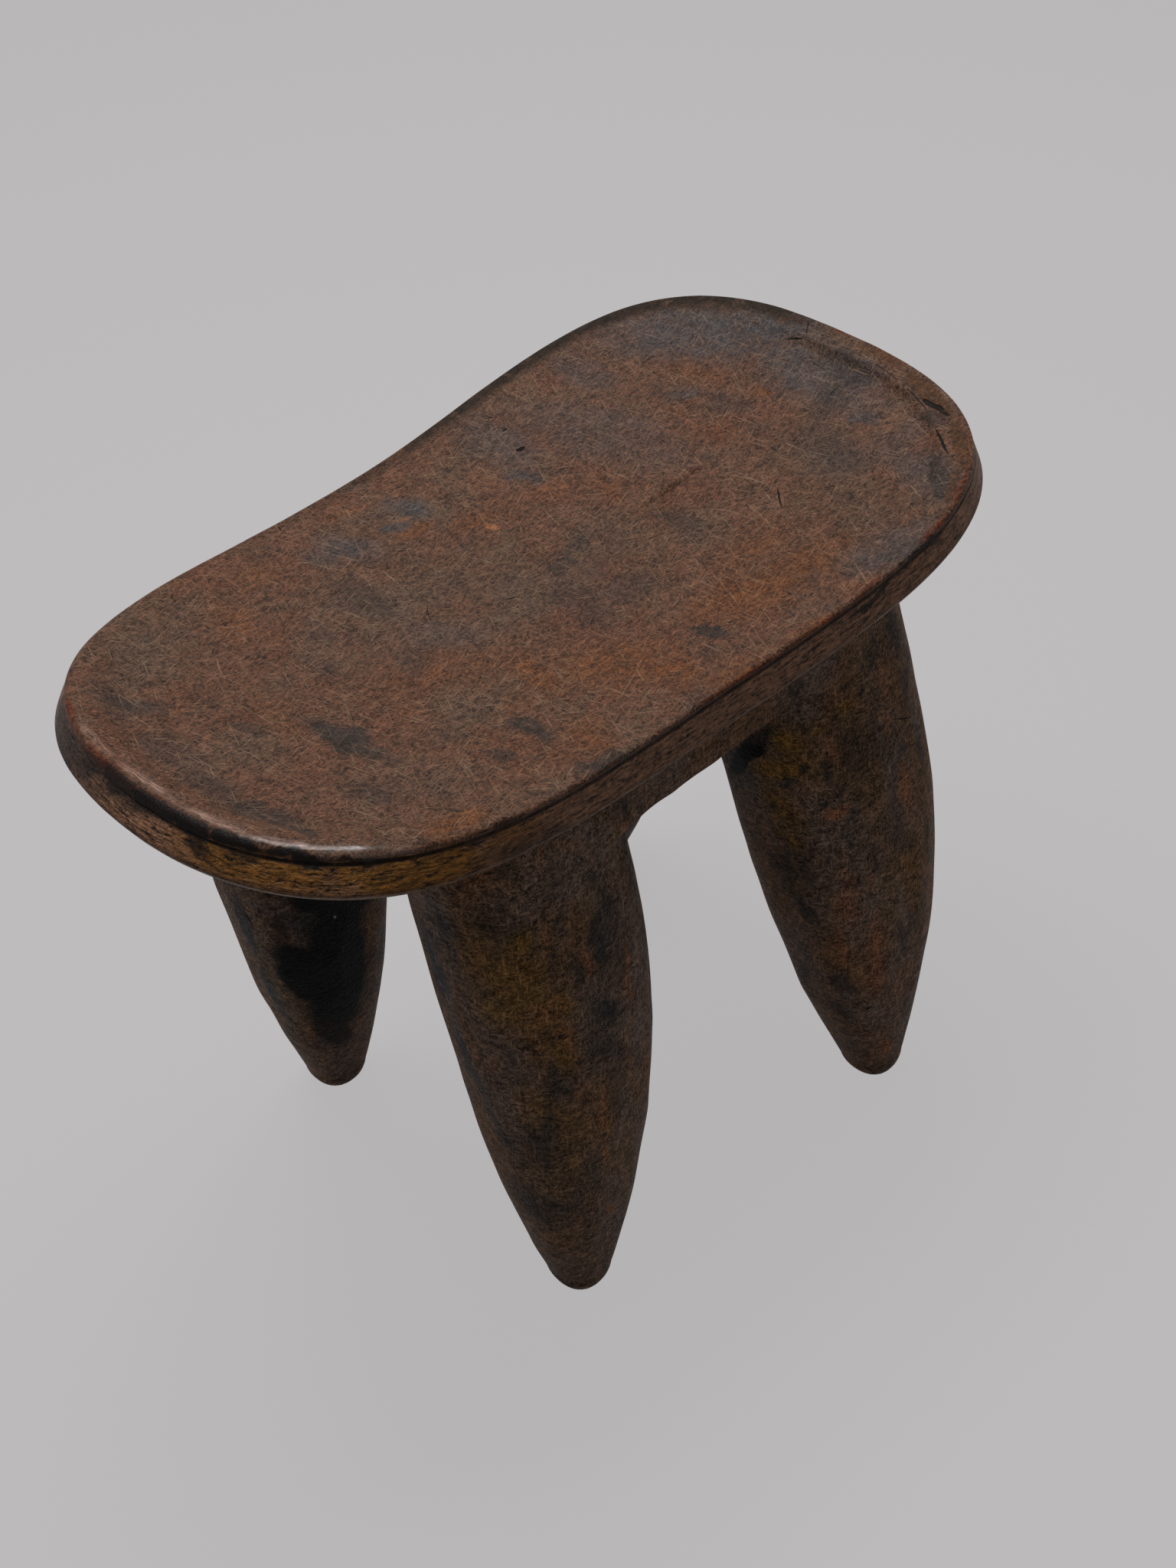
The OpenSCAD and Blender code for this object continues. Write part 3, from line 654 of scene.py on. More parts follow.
# %% Seat material
def worn_seat_wood():
    """Oiled hardwood worn by sitting: fibres along the seat, fine scratches, smudges and a dark rim line."""
    material, tree, place = new_material("Oiled hardwood, worn by sitting")
    rim = add(tree, VECTOR, {0: add(tree, "ShaderNodeUVMap", uv_map="Rim"), "Scale": 1 / MM}, operation="SCALE")
    walk, band, _ = add(tree, "ShaderNodeSeparateXYZ", (rim,)).outputs
    soft = warped(tree, place, 14, 7, 1.0)
    ragged = warped(tree, soft, 3, 1.6, 2.0)
    crisp = warped(tree, place, 5, 0.8, 3.0)
    curled = warped(tree, place, 6, 2.2, 4.0)
    torn = warped(tree, soft, 8, 4.5, 5.0)

    def marks(table, coordinates, **options):
        return mark_mask(tree, table, seat_tree, coordinates, **options)

    # fibre: short wavy hairs, most of them near the seat's length, with pores between them
    hair = hairs(tree, curled, [((length, HAIR_WIDTH, 2), 6.0 + angle, (0, 0, angle), share)
                                for angle, length, share in HAIRS], HAIR_HIGH)
    pores = patches(tree, curled, 1.3, 10.0, 0.39, 0.63, detail=2.0)
    tone = patches(tree, ragged, 7, 16.0, 0.36, 0.64, roughness=0.6)
    fibre = mixed(tree, ((tone, 0.15), (hair, 0.55), (pores, 0.3)))
    warm_free = patches(tree, soft, 70, 20.0, 0.52, 0.7, top=0.3)
    warm = add(tree, "MAXIMUM", (marks(WARM, soft, high=0.7, top=0.8), warm_free))
    grey = patches(tree, torn, 42, 21.0, 0.36, 0.66)
    hollow_tone = layer(tree, warm, layer(tree, grey, "#150c08", "#140d0a"), "#1c0d06")
    raised_tone = layer(tree, warm, layer(tree, grey, "#82543d", "#755947"), "#8a532d")
    colour = layer(tree, fibre, hollow_tone, raised_tone)

    def over(mask, dark, pale):
        """Lays a stain, a painted sheen or painted shade over the colour; the fibre still shows through it,
        dark below and pale above.
        """
        return layer(tree, mask, colour, layer(tree, fibre, dark, pale))

    # a painted blue-grey sheen, then dark smudges, some of them painted shade inside the left crest and round
    # the lip's gash
    sheen_break = add(tree, MAP, (patches(tree, ragged, 9, 8.0, 0.3, 0.58), 0, 1, 0.45))
    painted_sheen = marks(PAINTED_SHEEN, torn, low=0.0, high=0.6, top=0.95)
    colour = over(add(tree, "MULTIPLY", (painted_sheen, sheen_break)), "#1f1d1f", "#585454")
    speck = patches(tree, ragged, 20, 9.0, 0.58, 0.72, top=0.6, detail=5.0)
    smudge_and_shade = add(tree, "MAXIMUM", (marks(SMUDGES_AND_SHADE, torn), speck))
    colour = over(add(tree, "MULTIPLY", (smudge_and_shade, 0.9)), "#131110", "#413833")

    # scratches: pale hairlines in five directions, broken into short runs, and some long ones
    scratch = marks(LONG_SCRATCHES, crisp, high=0.3)
    for angle, seed in SCRATCHES:
        line = streaks(tree, crisp, (16, 0.6, 4), seed, (0, 0, angle), detail=0.0)
        scratch = add(tree, "MAXIMUM", (scratch, add(tree, MAP, (line, 0.7, 0.78, 0, 0.6))))
    colour = layer(tree, add(tree, "MULTIPLY", (scratch, 0.5)), colour, "#a08368")
    colour = over(marks(PALE_SPOTS, crisp), "#5c3822", "#a9714e")
    colour = over(marks(LIP_OCHRE, crisp, high=0.35, top=0.9), "#160d07", "#684222")

    # the side band: fibres run round it; ochre where the wood is bare, dark grey at the far left end and in two
    # short runs further along
    wavy_rim = warped(tree, rim, 9, 1.3, 9.0)
    along = mixed(tree, ((streaks(tree, curled, (2.4, 2.4, 1.1), 23.0, detail=3.0), 0.7),
                         (streaks(tree, wavy_rim, (10, 1.1, 1), 22.0, detail=3.0), 1.0)))
    along = add(tree, MAP, (add(tree, MAP, (along, *SIDE_SPREAD)), 0.08, 0.9))
    worn_runs = add(tree, MAP, (streaks(tree, wavy_rim, (10, 0.8, 1), 28.0, detail=2.0), 0.42, 0.6, 0.15))
    blotch = patches(tree, ragged, 7, 24.0, 0.5, 0.72, top=0.8, detail=5.0, roughness=0.65)
    bare, stained = layer(tree, along, "#120902", "#865822"), layer(tree, along, "#120d09", "#4f3519")
    side = layer(tree, along, "#0e0806", "#976d52")
    side = layer(tree, marks(SIDE_OCHRE, soft, depth=40, high=0.4, top=0.95), side,
                 layer(tree, blotch, bare, stained))
    side = layer(tree, marks(SIDE_DARK, ragged, depth=40, high=0.35, top=0.9), side,
                 layer(tree, along, "#0f0e0e", "#2b2726"))
    # the slab's lower edge is rubbed pale
    # a pale line along the slab's lower edge: a painted highlight on its bevel
    edge = near_band(tree, band, EDGE_BAND, 1.9, 0.5, 0.5)
    side = layer(tree, add(tree, "MULTIPLY", (edge, along)), side, "#8b7a70")
    on_side = add(tree, MAP, (band, -0.6, 1.2))
    colour = layer(tree, on_side, colour, side)

    # the rim: rust where the roll is rubbed; the crest pale, partly from wear and partly as a painted highlight
    rust = add(tree, "MULTIPLY", (marks(RUST, crisp, depth=12, high=0.35),
                                  patches(tree, ragged, 3.5, 27.0, 0.36, 0.58, roughness=0.7)))
    colour = over(rust, "#2c120a", "#7c3a1d")
    worn_and_highlight = add(tree, "MULTIPLY", (marks(RIM_WORN_AND_HIGHLIGHT, crisp, depth=8, low=0.0, high=0.6), worn_runs))
    colour = layer(tree, worn_and_highlight, colour, "#9a7a6c")
    # the far edge's crest is black with old oil
    crest = near_band(tree, band, -2.5, 11.0, 5.0)
    for part in (
        add(tree, MAP, (walk, 0.0, RIM_LENGTH * 0.035)),
        add(tree, MAP, (walk, RIM_LENGTH * 0.31, RIM_LENGTH * 0.2)),
        patches(tree, ragged, 9, 29.0, 0.26, 0.46),
    ):
        crest = add(tree, "MULTIPLY", (crest, part))
    colour = over(crest, "#0e0905", "#38271a")
    # the cut line is painted black, partly a dark seam and partly painted shade under the rim's overhang; it
    # runs a little way round the right end
    line = add(tree, "MULTIPLY", (near_band(tree, band, LINE_AT, 1.2, 0.3),
                                  add(tree, MAP, (along, 0.15, 0.6, 0.3))))
    begins = add(tree, MAP, (walk, LINE_START - 70, LINE_START))
    ends = add(tree, MAP, (walk, 120.0, 40.0, 0, 0.7))
    line = add(tree, "MULTIPLY", (line, add(tree, "MAXIMUM", (begins, ends))))
    soot = add(tree, "MULTIPLY", (marks(RIM_BLACK, ragged, depth=10, high=0.4, top=0.97),
                                  add(tree, MAP, (band, -3.9, -2.6))))
    line = add(tree, "MAXIMUM", (line, soot))
    crack = marks(CRACKS, crisp, low=0.25)
    colour = layer(tree, add(tree, "MAXIMUM", (line, crack)), colour, "#0a0706")

    # where thighs have polished the front left rim, the oil has built up a clear skin
    polish = add(tree, "MULTIPLY", (marks(RIM_POLISH, soft, depth=9, low=0.0),
                                    add(tree, "MAXIMUM", (worn_runs, 0.5))))
    relief = add(tree, "MULTIPLY_ADD", (polish, POLISH_RELIEF, FIBRE_RELIEF))
    relief = add(tree, "MULTIPLY", (fibre, relief))
    for mask, depth in ((scratch, SCRATCH_DEPTH), (crack, CRACK_DEPTH), (line, LINE_DEPTH),
                        (add(tree, "MULTIPLY", (along, on_side)), SIDE_RELIEF)):
        relief = add(tree, "MULTIPLY_ADD", (mask, depth, relief))
    # an oily patina: smoother on the raised fibres, duller in between
    finish_material(tree, colour, relief, add(tree, MAP, (fibre, 0, 1, 0.52, 0.36)), {
        "Specular IOR Level": 0.1, "Coat Weight": polish, "Coat Roughness": 0.23, "Coat IOR": 1.5})
    return material


seat_wood = worn_seat_wood()
print("seat wood:", len(seat_wood.node_tree.nodes), "nodes")

# %% Carve and finish the seat
def piece(mesh, name, nodes):
    """A finished piece: it rides on the stool's one body and stands for its CAD nodes."""
    made = show(name, mesh)
    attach(made, "root")
    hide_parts(*nodes)
    print(f"{name}: {len(mesh.polygons)} faces")


seat_carved = apply_tree(seat_mesh, tool_marks, "seat_carved", {
    "Swell size": 60.0, "Swell depth": 0.9, "Scoop length": 30.0, "Scoop width": 15.0, "Scoop depth": 0.22,
    "Along": (1.0, 0.0, 0.0), "Seed": 3.0, "Finish": seat_wood,
})
piece(seat_carved, "seat_carved", ["seat"])

# %% [markdown]
# # The block and the legs as one field
# Between the seat and the floor the carver left no joint: block and legs flow into each other in soft
# hollows. A field suits that. At every point of a grid a number says how far the point is from the wood,
# below zero inside it. The smaller of two such numbers joins two shapes, and a smooth minimum also fills the
# corner between them. Volume Cube holds the field and Volume to Mesh skins it where it is zero.

# %% Sizes of the block and the legs, mm
BLOCK_LENGTH, BLOCK_INSET, BLOCK_HEIGHT, BLOCK_BEVEL, LAND = 320, 5.5, 22, 3, 2
LEG_TOP_LENGTH, LEG_TOP_WIDTH, FOOT_WIDTH, FOOT_TUCK, FOOT_ROUND = 104.5, 83.5, 35, 4.5, 11
FOOT_REACH_X, FOOT_REACH_Y, FULLNESS, BELLY, LEG_SQUARENESS = 104, 106, 2.9, 1.5, 2.3
# sides in X and Y, foot's shift in X and Y, top's stand-in, bow, extra radius
LEGS = {
    "leg_front_left": (-1, -1, 10.5, 6.5, 14, 7.5, 0),
    "leg_front_right": (1, -1, 17.5, -12.5, 0, 6.5, 2.5),
    "leg_back_left": (-1, 1, 10.5, -4, 3, 4.5, -4.5),
    "leg_back_right": (1, 1, 21, 5, 0, 12, 6),
}
LEG_TOP_Z = SEAT_HEIGHT - SLAB - LAND - BLOCK_HEIGHT
BLOCK_HALF_LENGTH = BLOCK_LENGTH / 2
BLOCK_HALF_WIDTH = HALF_WIDTH + SIDE_LEAN - BLOCK_INSET
# the block's corner radius in plan, the radius of the outline that nothing passes, and how fast that falls in
CORNER, OUTER_CORNER, FALL_IN = 95, 45, 0.5
# the hollows between block and legs, the rounding of the lower edge, the wood left for the tool, the grid
HOLLOW, LOWER_EDGE, GROW, VOXEL = 16, 10, 1.3, 1.6
# nothing passes these places in Y, just inside the box of the CAD solids
DEEPEST_FRONT, DEEPEST_BACK = -141.4, 137.6
# the legs run on above the block, slimmer by this share, and end this far inside the slab
SLIMMER, INTO_SLAB = 0.12, 1.5
# the rounding where the outline cuts the wood, and two corners of the grid
LIMIT_ROUND, GRID_LOW, GRID_HIGH = 4.0, (-170, -152, -5), (178, 152, 358)
print("legs end at", LEG_TOP_Z, "mm; block", BLOCK_LENGTH, "x", 2 * BLOCK_HALF_WIDTH)

# %% Node group: distance to one leg
def leg_distance_group():
    """Distance in mm from a point to a leg: an oval that swells, leans and bows as it climbs."""
    names = ("Foot X", "Foot Y", "Top X", "Top Y", "Top radius X", "Top radius Y", "Bow")
    inputs = [("Point", "Vector", None)] + [(name, "Float", None) for name in names]
    tree, given = new_group("Leg distance", inputs, ("Distance", "Float"))
    x, y, z = add(tree, "ShaderNodeSeparateXYZ", (given["Point"],)).outputs
    share = add(tree, MAP, (z, FOOT_ROUND, LEG_TOP_Z), clamp=False)
    share = add(tree, "MINIMUM", (share, 1.0))
    left = add(tree, "SUBTRACT", (1.0, share))
    swell = add(tree, "SUBTRACT", (1.0, add(tree, "POWER", (left, FULLNESS))))
    middle = add(tree, "SINE", (add(tree, "MULTIPLY", (share, math.pi)),))
    # the foot's rounded end draws the radius in over its last few millimetres
    below = add(tree, MAP, (z, 0.0, FOOT_ROUND, 1.0, 0.0))
    round_off = add(tree, "SUBTRACT", (1.0, add(tree, "POWER", (below, 2.0))))
    round_off = add(tree, "SUBTRACT", (add(tree, "POWER", (round_off, 0.5)), 1.0))
    round_off = add(tree, "MULTIPLY", (round_off, FOOT_TUCK))
    extra = add(tree, "MULTIPLY_ADD", (middle, BELLY, round_off))
    bow = add(tree, "MULTIPLY", (middle, given["Bow"]))
    powers, radii = [], []
    for along, axis in ((x, "X"), (y, "Y")):
        reach = add(tree, "SUBTRACT", (given["Top " + axis], given["Foot " + axis]))
        centre = add(tree, "MULTIPLY_ADD", (share, reach, given["Foot " + axis]))
        if axis == "X":
            centre = add(tree, "ADD", (centre, bow))
        growth = add(tree, "SUBTRACT", (given["Top radius " + axis], FOOT_WIDTH / 2))
        radius_here = add(tree, "MULTIPLY_ADD", (swell, growth, FOOT_WIDTH / 2))
        radius_here = add(tree, "ADD", (radius_here, extra))
        off = add(tree, "DIVIDE", (add(tree, "SUBTRACT", (along, centre)), radius_here))
        powers.append(add(tree, "POWER", (add(tree, "ABSOLUTE", (off,)), LEG_SQUARENESS)))
        radii.append(radius_here)
    oval = add(tree, "POWER", (add(tree, "ADD", powers), 1 / LEG_SQUARENESS))
    oval = add(tree, "SUBTRACT", (oval, 1.0))
    away = add(tree, "MULTIPLY", (oval, add(tree, "MINIMUM", radii)))
    over = add(tree, "MAXIMUM", (add(tree, "SUBTRACT", (z, LEG_TOP_Z)), 0.0))
    add(tree, "NodeGroupOutput", (add(tree, "MULTIPLY_ADD", (over, SLIMMER, away)),))
    return tree


leg_distance = leg_distance_group()
print("leg distance:", len(leg_distance.nodes), "nodes")

# %% Node tree: the whole underframe
def underframe_tree():
    """Block and legs joined by a smooth minimum on a grid of voxels, then skinned."""
    tree, given = new_group("Carved underframe", [("Geometry", "Geometry", None)] + [
        (name, "Float", value) for name, value in (
            ("Hollow", HOLLOW), ("Lower edge", LOWER_EDGE), ("Grow", GROW), ("Voxel", VOXEL))
    ], ("Geometry", "Geometry"))
    point = position_in_mm(tree)
    x, y, z = add(tree, "ShaderNodeSeparateXYZ", (point,)).outputs

    # two rectangles with round corners: the block, and the outline that nothing passes
    plans = []
    for corner in (CORNER, OUTER_CORNER):
        beyond = []
        for along, half in ((x, BLOCK_HALF_LENGTH), (y, BLOCK_HALF_WIDTH)):
            beyond.append(add(tree, "SUBTRACT", (add(tree, "ABSOLUTE", (along,)), half - corner)))
        outside = add(tree, "ShaderNodeCombineXYZ", [add(tree, "MAXIMUM", (b, 0.0)) for b in beyond])
        outside = add(tree, VECTOR, (outside,), operation="LENGTH").outputs["Value"]
        inside = add(tree, "MINIMUM", (add(tree, "MAXIMUM", beyond), 0.0))
        plans.append(add(tree, "SUBTRACT", (add(tree, "ADD", (outside, inside)), corner)))
    under = add(tree, "SUBTRACT", (LEG_TOP_Z, z))
    wood = add(tree, "SMOOTH_MAX", (plans[0], under, given["Lower edge"]))

    for side_x, side_y, shift_x, shift_y, stand_in, bow, extra in LEGS.values():
        radius_x, radius_y = LEG_TOP_LENGTH / 2 + extra, LEG_TOP_WIDTH / 2 + extra
        leg = add(tree, "GeometryNodeGroup", node_tree=leg_distance)
        tree.links.new(point.outputs[0], leg.inputs["Point"])
        for name, value in (
            ("Foot X", side_x * FOOT_REACH_X + shift_x), ("Foot Y", side_y * FOOT_REACH_Y + shift_y),
            ("Top X", side_x * (BLOCK_HALF_LENGTH - BLOCK_BEVEL - radius_x - stand_in)),
            ("Top Y", side_y * (BLOCK_HALF_WIDTH - BLOCK_BEVEL - radius_y)),
            ("Top radius X", radius_x), ("Top radius Y", radius_y), ("Bow", bow),
        ):
            leg.inputs[name].default_value = value
        wood = add(tree, "SMOOTH_MIN", (wood, leg, given["Hollow"]))

    # the tool marks only cut, so the wood starts a little full; nothing passes the outline near the top
    wood = add(tree, "SUBTRACT", (wood, given["Grow"]))
    fall = add(tree, "MAXIMUM", (under, 0.0))
    limit = add(tree, "MULTIPLY_ADD", (fall, -FALL_IN, plans[1]))
    wood = add(tree, "SMOOTH_MAX", (wood, limit, LIMIT_ROUND))
    # flat limits: front and back; the slab's curved underside, which the top runs a little way into; the floor
    bent = add(tree, "MULTIPLY", (add(tree, "POWER", (x, 2.0)), LEFT_RISE / HALF_LENGTH ** 2))
    ceiling = add(tree, "SUBTRACT", (add(tree, "SUBTRACT", (z, SEAT_HEIGHT - SLAB + INTO_SLAB)), bent))
    for beyond in (
        add(tree, "SUBTRACT", (DEEPEST_FRONT, y)), add(tree, "SUBTRACT", (y, DEEPEST_BACK)),
        ceiling, add(tree, "SUBTRACT", (0.0, z)),
    ):
        wood = add(tree, "MAXIMUM", (wood, beyond))

    volume = add(tree, "GeometryNodeVolumeCube", {
        "Density": add(tree, "SUBTRACT", (0.0, wood)), "Background": -1.0,
        "Min": [c * MM for c in GRID_LOW], "Max": [c * MM for c in GRID_HIGH]})
    for axis, low, high in zip("XYZ", GRID_LOW, GRID_HIGH):
        cells = add(tree, "DIVIDE", (float(high - low), given["Voxel"]))
        tree.links.new(cells.outputs[0], volume.inputs["Resolution " + axis])
    skin = add(tree, "GeometryNodeVolumeToMesh", {"Volume": volume, "Threshold": 0.0})
    real = add(tree, "GeometryNodeRealizeInstances", {"Geometry": skin})
    add(tree, "NodeGroupOutput", (real,))
    return tree


underframe = apply_tree(bpy.data.meshes.new("start"), underframe_tree(), "underframe", {})
under_tree = finder(underframe)
print("underframe:", len(underframe.polygons), "faces before the tool marks")

# %% [markdown]
# # Finish 2: smoked and handled leg wood
# The legs are darker: smoke and soil have turned the wood nearly black in places, and rubbing has laid bare
# ochre and orange wood in long upright streaks. The back left leg, in the seat's shadow, is also painted near
# black as painted shade, and the sides that face left carry a painted blue-grey sheen. The same field of
# patches runs over the block and all the legs, because it is one skin. Patterns read Object coordinates in
# millimetres, so they meet at every seam.

# %% Marks read off the legs
# black blotches; the last five rows, on the back left leg, are also painted shade under the seat
LEG_BLACK_AND_SHADE = (
    (762, 1152, 791, 1150, 12, 0.7), (782, 1185, 790, 1290, 15, 1.0), (800, 1190, 812, 1240, 14, 0.7),
    (748, 1250, 770, 1290, 14, 0.8), (774, 1318, 815, 1330, 18, 1.0), (775, 1350, 818, 1385, 22, 0.7),
    (618, 1200, 655, 1235, 26, 0.7), (567, 1200, 588, 1225, 22, 0.8), (665, 1545, 719, 1600, 34, 0.8),
    (706, 1570, 750, 1592, 22, 0.8), (700, 1180, 740, 1150, 20, 0.5), (640, 1130, 670, 1150, 14, 0.5),
    (800, 1400, 812, 1470, 12, 0.5), (770, 1500, 790, 1560, 14, 0.4), (620, 1400, 640, 1460, 20, 0.5),
    (955, 990, 1035, 940, 14, 1.0), (1048, 1010, 1055, 1006, 8, 1.0), (1020, 1028, 1030, 1022, 9, 1.0),
    (1075, 1055, 1085, 1052, 8, 1.0), (1082, 985, 1088, 1040, 9, 0.9), (1000, 1110, 1020, 1150, 12, 0.8),
    (1030, 1160, 1062, 1210, 16, 1.0), (1040, 1130, 1030, 1165, 10, 0.6), (1085, 1310, 1110, 1335, 14, 0.9),
    (1135, 1110, 1160, 1140, 12, 0.6), (1115, 1160, 1130, 1150, 9, 0.7), (1175, 1205, 1188, 1245, 12, 0.8),
    (1105, 900, 1118, 895, 7, 0.8), (1125, 915, 1130, 905, 5, 0.8), (1105, 960, 1180, 990, 40, 0.5),
    (1182, 980, 1190, 978, 6, 0.9), (1000, 1060, 1010, 1052, 7, 0.8), (960, 1040, 975, 1000, 14, 0.6),
    (1100, 1040, 1110, 1000, 20, 0.4), (1180, 1110, 1200, 1100, 16, 0.5), (1098, 955, 1128, 1020, 26, 0.7),
    (377, 1200, 455, 1200, 50, 1.0), (390, 1260, 450, 1260, 50, 1.0), (400, 1320, 430, 1320, 34, 1.0),
    (350, 1170, 420, 1170, 20, 0.8), (345, 1240, 374, 1270, 20, 0.8),
)
LEG_OCHRE = (
    (668, 1220, 695, 1245, 18, 1.0), (632, 1315, 666, 1335, 26, 0.7), (640, 1240, 700, 1330, 60, 0.7),
    (729, 1305, 748, 1320, 9, 1.0), (724, 1360, 753, 1398, 18, 0.8), (695, 1440, 753, 1490, 34, 0.8),
    (720, 1500, 750, 1530, 24, 0.6), (985, 1010, 1060, 1000, 22, 1.0), (1020, 960, 1040, 990, 26, 1.0),
    (1000, 1040, 1040, 1080, 30, 0.9), (1015, 1085, 1035, 1110, 16, 0.9), (1095, 930, 1120, 925, 10, 1.0),
    (1060, 960, 1075, 950, 10, 0.8), (1075, 1342, 1092, 1355, 10, 0.8), (1010, 1130, 1020, 1110, 8, 0.5),
    (1125, 1270, 1150, 1250, 16, 0.5), (376, 1300, 402, 1335, 16, 0.8), (412, 1345, 425, 1350, 12, 0.6),
    (340, 1195, 377, 1235, 16, 0.6),
)
LEG_ORANGE = (
    (788, 1410, 796, 1485, 4.8, 1.0), (795, 1490, 797, 1524, 4.5, 0.9), (796, 1578, 803, 1588, 9, 0.9),
    (764, 1250, 782, 1270, 13.5, 0.9), (820, 1210, 827, 1330, 6, 0.7), (822, 1356, 825, 1425, 4.5, 0.6),
    (755, 1415, 766, 1442, 10.5, 0.6), (735, 1345, 748, 1375, 12, 0.6), (700, 1330, 735, 1320, 15, 0.4),
    (1183, 1000, 1193, 1060, 13.5, 1.0), (1080, 960, 1095, 1000, 6, 0.9), (1085, 1068, 1108, 1062, 10.5, 1.0),
    (1160, 930, 1168, 975, 10.5, 0.8), (1145, 1190, 1150, 1290, 13.5, 0.9), (1105, 1170, 1112, 1200, 18, 0.6),
    (1098, 1215, 1100, 1270, 7.5, 0.8), (1158, 1365, 1164, 1376, 10.5, 0.9), (1140, 1265, 1147, 1296, 12, 0.7),
    (1155, 870, 1160, 900, 12, 0.6), (1110, 1150, 1120, 1180, 15, 0.5), (455, 1240, 463, 1290, 7.5, 0.9),
    (432, 1322, 438, 1340, 9, 0.8), (350, 1195, 375, 1225, 15, 0.7), (388, 1315, 400, 1330, 12, 0.5),
)
LEG_NICKS = (
    (642, 1416, 661, 1421, 1.0, 1.0), (705, 1463, 729, 1467, 0.9, 0.9), (685, 1326, 695, 1324, 0.8, 0.8),
    (735, 1365, 748, 1352, 0.8, 0.7), (1170, 941, 1196, 938, 1.0, 1.0), (1196, 1128, 1208, 1106, 0.8, 0.9),
    (1200, 1022, 1207, 1006, 0.8, 0.8), (1190, 975, 1202, 972, 1.0, 0.7), (315, 1192, 330, 1215, 1.4, 1.0),
    (377, 1192, 455, 1190, 0.8, 0.7),
)
# near-black soot on the back left leg, also painted shade for the seat's shadow; one row darkens the front
# right leg's left side
LEG_SOOT_AND_SHADE = (
    (436, 1180, 450, 1340, 46, 1.0), (375, 1245, 420, 1310, 30, 1.0), (425, 1335, 450, 1362, 24, 0.9),
    (395, 1180, 478, 1182, 22, 1.0), (950, 1010, 988, 976, 12, 1.0), (360, 1205, 372, 1240, 12, 0.6),
)
# painted sheen: a blue-grey reflection painted on the sides of the legs that face left
LEG_PAINTED_SHEEN = (
    (300, 1155, 335, 1265, 13, 0.9), (335, 1265, 378, 1345, 12, 0.9), (330, 1170, 365, 1215, 16, 0.5),
    (545, 1200, 585, 1330, 16, 0.9), (585, 1330, 628, 1440, 13, 0.9), (628, 1440, 672, 1520, 10, 0.6),
    (1196, 900, 1212, 1020, 7, 0.8), (1213, 1040, 1215, 1150, 6, 0.7), (560, 1180, 600, 1290, 12, 0.4),
)
LEG_RUBBED = (
    (690, 1150, 800, 1135, 40, 0.7), (824, 1200, 840, 1300, 18, 0.9), (840, 1300, 842, 1400, 14, 0.9),
    (820, 1400, 812, 1500, 12, 0.7), (1165, 930, 1195, 1100, 30, 0.7), (1120, 1120, 1140, 1260, 40, 0.6),
    (1175, 1150, 1190, 1250, 18, 0.7), (1060, 1040, 1110, 1120, 34, 0.6), (1100, 1290, 1150, 1340, 26, 0.6),
    (745, 1085, 800, 1095, 16, 0.8), (640, 1180, 690, 1200, 26, 0.5), (355, 1180, 395, 1215, 16, 0.4),
)
LEG_PALE = ((440, 1201, 442, 1202, 2.0, 1.0),)
print(len(LEG_BLACK_AND_SHADE), "black,", len(LEG_OCHRE), "ochre and", len(LEG_ORANGE), "orange marks")

# %% Hairs and relief of the legs
# The leg's fine hairs and wrinkles: size in mm along each axis, seed, turn in degrees, strength
LEG_HAIRS = (
    ((1.1, 1.1, 8), 57, (0, 0, 0), 1.0), ((1.1, 1.1, 6), 55, (32, 22, 0), 0.95),
    ((1.1, 1.1, 6), 55, (-36, -24, 0), 0.95), ((5, 5, 1.1), 50.1, (0, 0, 0), 0.95),
    ((1.1, 1.1, 5), 54, (60, -50, 0), 0.9),
)
LEG_HAIR_HIGH = 0.68
WRINKLE_WIDTH, WRINKLE_HEIGHT = 3.4, 2.0
# Relief in mm
GRAIN_RELIEF, WRINKLE_DEPTH, NICK_DEPTH = 0.5, -0.25, -0.8
print(len(LEG_HAIRS), "sets of hairs and wrinkles")

